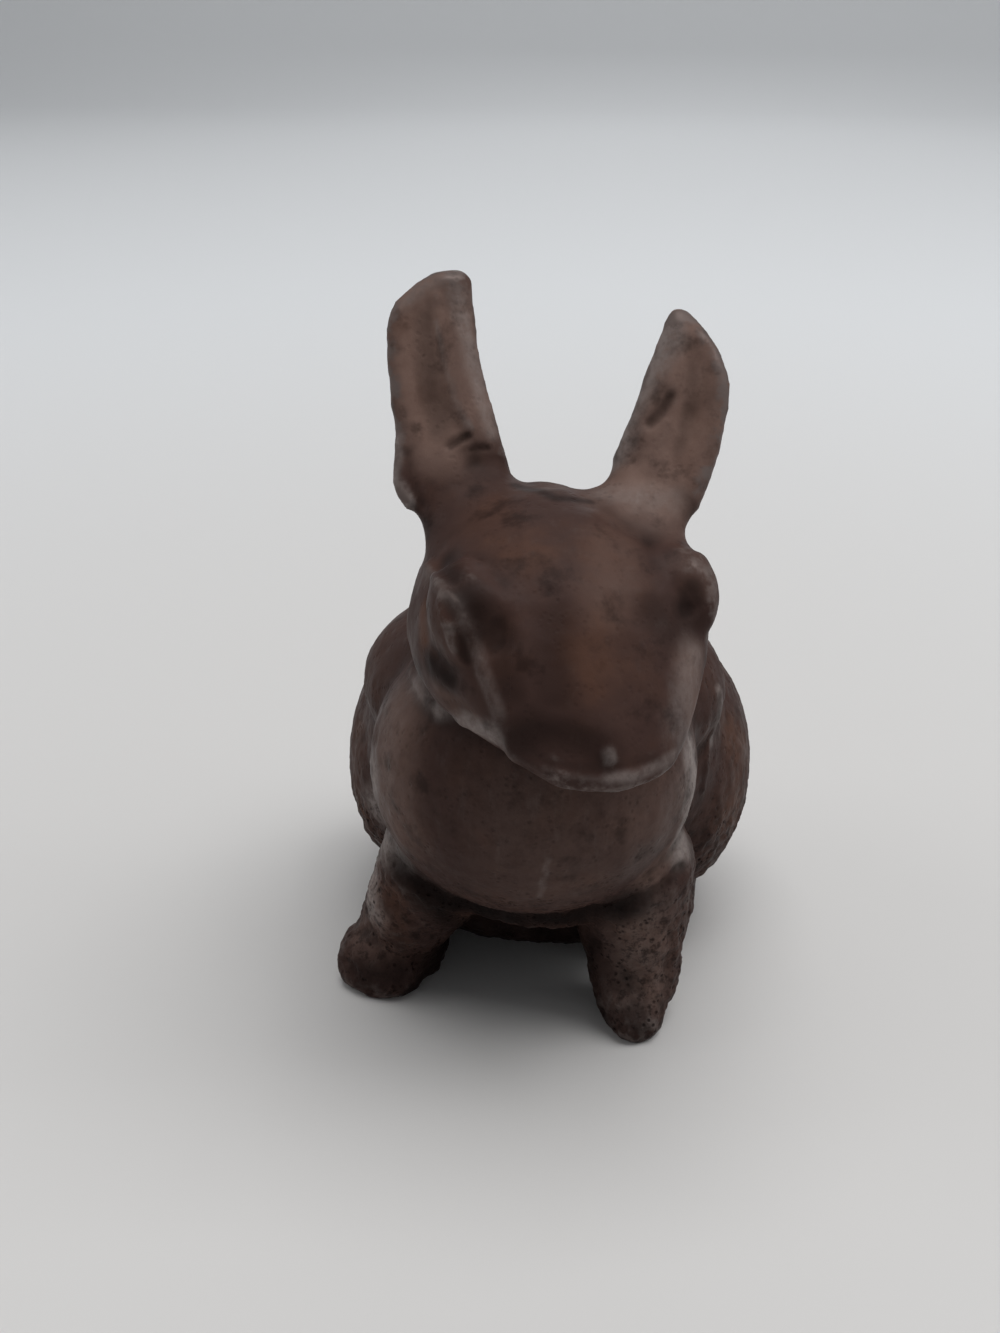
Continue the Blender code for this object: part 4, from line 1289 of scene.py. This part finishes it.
@dataclass
class SquareNut:
    """The square nut in its pocket."""

    low: Vector
    high: Vector
    hole: float = 0.0041
    chamfer: float = 0.00045
    countersink: float = 0.0004
    countersink_depth: float = 0.0006

    def build(self) -> bpy.types.Object:
        """Shapes the nut from a block: softened corners and a countersunk hole.

        Returns:
            The nut.
        """
        centre, size = (self.low + self.high) / 2, self.high - self.low
        deselect()
        bpy.ops.mesh.primitive_cube_add(size=1, location=centre, scale=size)
        nut = bpy.context.object
        nut.name = "square_nut_forged"
        settle(nut)
        apply_modifier(nut, "BEVEL", width=self.chamfer, segments=3, limit_method="ANGLE")
        for depth, radius, place in (
            (2 * size.x, self.hole / 2, centre.x),
            (self.countersink_depth, self.hole / 2 + self.countersink, self.low.x),
        ):
            deselect()
            bpy.ops.mesh.primitive_cylinder_add(
                vertices=48, radius=radius, depth=depth, location=(place, centre.y, centre.z),
                rotation=(0, math.pi / 2, 0))
            cut_away(nut, bpy.context.object)
        take(nut)
        bpy.ops.object.shade_smooth_by_angle(angle=SHARP_EDGE)
        return nut


@dataclass
class Studio:
    """The pale floor with its backdrop, the soft lamps and the camera."""

    target: tuple[float, float, float] = (-0.0053, -0.0030, 0.0450)
    azimuth: float = math.radians(6.5)
    elevation: float = math.radians(25)
    distance: float = 0.200
    lens_pixels: float = 1540.0
    image_height: float = 1333.0
    sensor_height: float = 36.0
    clip: tuple[float, float] = (0.005, 10.0)
    floor_size: float = 3.0
    floor_shift: float = 0.3
    back_edge: float = 1.0
    backdrop_height: float = 2.0
    cove: float = 0.6
    # Painted light: the floor is darker and warmer near the rabbit and paler and bluer far off, for
    # how the light falls across it.
    near_floor: tuple[float, float, float] = (0.62, 0.61, 0.60)
    far_floor: tuple[float, float, float] = (0.71, 0.725, 0.74)
    floor_fade: tuple[float, float] = (0.04, 0.5)
    floor_roughness: float = 0.8
    room_light: tuple[float, float, float, float] = (0.95, 0.97, 1.0, 1.0)
    room_light_strength: float = 0.17
    room_shown: tuple[float, float, float, float] = (0.95, 0.975, 1.0, 1.0)
    room_shown_strength: float = 0.66

    def build(self) -> None:
        """Lays the floor, hangs the lamps and sets the camera."""
        self.floor()
        self.room()
        for lamp in LAMPS:
            self.hang(lamp)
        self.camera()

    def floor(self) -> None:
        """Makes a floor that curves up to a backdrop."""
        deselect()
        bpy.ops.mesh.primitive_plane_add(size=self.floor_size, location=(0, self.floor_shift, 0))
        floor = bpy.context.object
        floor.name = "pale_floor"
        with editing(floor):
            bpy.ops.mesh.select_all(action="DESELECT")
            bpy.ops.object.mode_set(mode="OBJECT")
            for edge in floor.data.edges:
                ends = [floor.matrix_world @ floor.data.vertices[i].co for i in edge.vertices]
                edge.select = all(point.y > self.back_edge for point in ends)
            bpy.ops.object.mode_set(mode="EDIT")
            bpy.ops.mesh.select_mode(type="EDGE")
            bpy.ops.mesh.extrude_region_move(
                TRANSFORM_OT_translate={"value": (0, 0, self.backdrop_height)})
        settle(floor)
        apply_modifier(floor, "BEVEL", width=self.cove, segments=24, limit_method="ANGLE")
        bpy.ops.object.shade_smooth()
        material, sheet, vector = new_material("pale_card")
        away = sheet.node("ShaderNodeVectorMath", operation="LENGTH")
        sheet.put(away.inputs[0], vector)
        # Painted light: the colour darkens towards the rabbit and pales far off.
        share = sheet.spread(away.outputs["Value"], *self.floor_fade)
        sheet.shade(
            base_color=sheet.blend(share, self.near_floor, self.far_floor),
            roughness=self.floor_roughness)
        floor.data.materials.append(material)

    def room(self) -> None:
        """Fills the room with faint even light, and shows it pale like the backdrop."""
        world = bpy.data.worlds.new("room")
        world.use_nodes = True
        sheet = NodeSheet(world.node_tree)
        light, shown = (
            sheet.feed(sheet.node("ShaderNodeBackground"), color=colour, strength=strength)
            for colour, strength in (
                (self.room_light, self.room_light_strength),
                (self.room_shown, self.room_shown_strength)))
        path = sheet.node("ShaderNodeLightPath").outputs
        seen = sheet.combine("MAXIMUM", path["Is Camera Ray"], path["Is Glossy Ray"])
        mixed = sheet.node("ShaderNodeMixShader")
        for socket, given in zip(mixed.inputs, (seen, light.outputs[0], shown.outputs[0])):
            sheet.put(socket, given)
        sheet.feed(sheet.node("ShaderNodeOutputWorld"), surface=mixed.outputs[0])
        bpy.context.scene.world = world

    def aim(self, thing: bpy.types.Object, direction: Vector) -> None:
        """Turns a lamp or camera."""
        thing.rotation_euler = direction.to_track_quat("-Z", "Y").to_euler()

    def hang(self, lamp: Lamp) -> None:
        """Hangs one lamp.

        Args:
            lamp: the lamp to hang.
        """
        deselect()
        bpy.ops.object.light_add(type="AREA", location=lamp.place)
        light = bpy.context.object
        light.name = lamp.name
        light.data.size = lamp.size
        light.data.energy = lamp.watts
        self.aim(light, Vector(self.target) - Vector(lamp.place))

    def camera(self) -> None:
        """Sets the camera where the photograph was taken from."""
        flat = math.cos(self.elevation)
        away = Vector((
            math.sin(self.azimuth) * flat, -math.cos(self.azimuth) * flat,
            math.sin(self.elevation)))
        deselect()
        bpy.ops.object.camera_add(location=Vector(self.target) + away * self.distance)
        camera = bpy.context.object
        camera.name = "photograph_view"
        self.aim(camera, -away)
        camera.data.sensor_fit = "VERTICAL"
        camera.data.sensor_height = self.sensor_height
        camera.data.lens = self.lens_pixels / self.image_height * self.sensor_height
        camera.data.clip_start, camera.data.clip_end = self.clip
        bpy.context.scene.camera = camera


def clear_start_objects() -> None:
    """Removes what Blender puts in a new file, and keeps the frame."""
    kept = set(frame["nodes"].values()) | set(frame["bodies"].values())
    for thing in [thing for thing in bpy.data.objects if thing not in kept]:
        bpy.data.objects.remove(thing)


def hand_over(piece: bpy.types.Object, node: str,
              material: bpy.types.Material) -> None:
    """Dresses a piece and lets it stand for its CAD node.

    Args:
        piece: the finished piece.
        node: the CAD node it stands for.
        material: the piece's finish.
    """
    piece.data.materials.clear()
    piece.data.materials.append(material)
    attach(piece, ROOT)
    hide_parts(node)
    LOG.info("%s: %d faces", piece.name, len(piece.data.polygons))


def main() -> None:
    """Builds and dresses every piece, then the studio."""
    logging.basicConfig(level=logging.INFO, format="%(name)s: %(message)s")
    clear_start_objects()
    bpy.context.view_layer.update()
    bpy.context.scene.view_settings.view_transform = "Standard"
    sand, handling = SandSkin().build(), HandlingAndShading().build()
    for side, casting in RabbitCastings().build().items():
        finish = IronFinish(f"browned_iron_{side.name.lower()}").build(sand, handling)
        hand_over(casting, CASTING_NODES[side], finish)
    screw_low, screw_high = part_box("tie_screw")
    middle = (screw_low + screw_high) / 2
    seat_x = screw_high.x - TieScrew.head_height
    screw = TieScrew(middle.y, middle.z, seat_x, screw_low.x).build()
    hand_over(screw, "tie_screw", SteelFinish("dulled_screw_steel").build(sand))
    nut = SquareNut(*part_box("square_nut")).build()
    hand_over(nut, "square_nut", SteelFinish("dulled_nut_steel").build(sand))
    Studio().build()


if __name__ == "__main__":
    main()
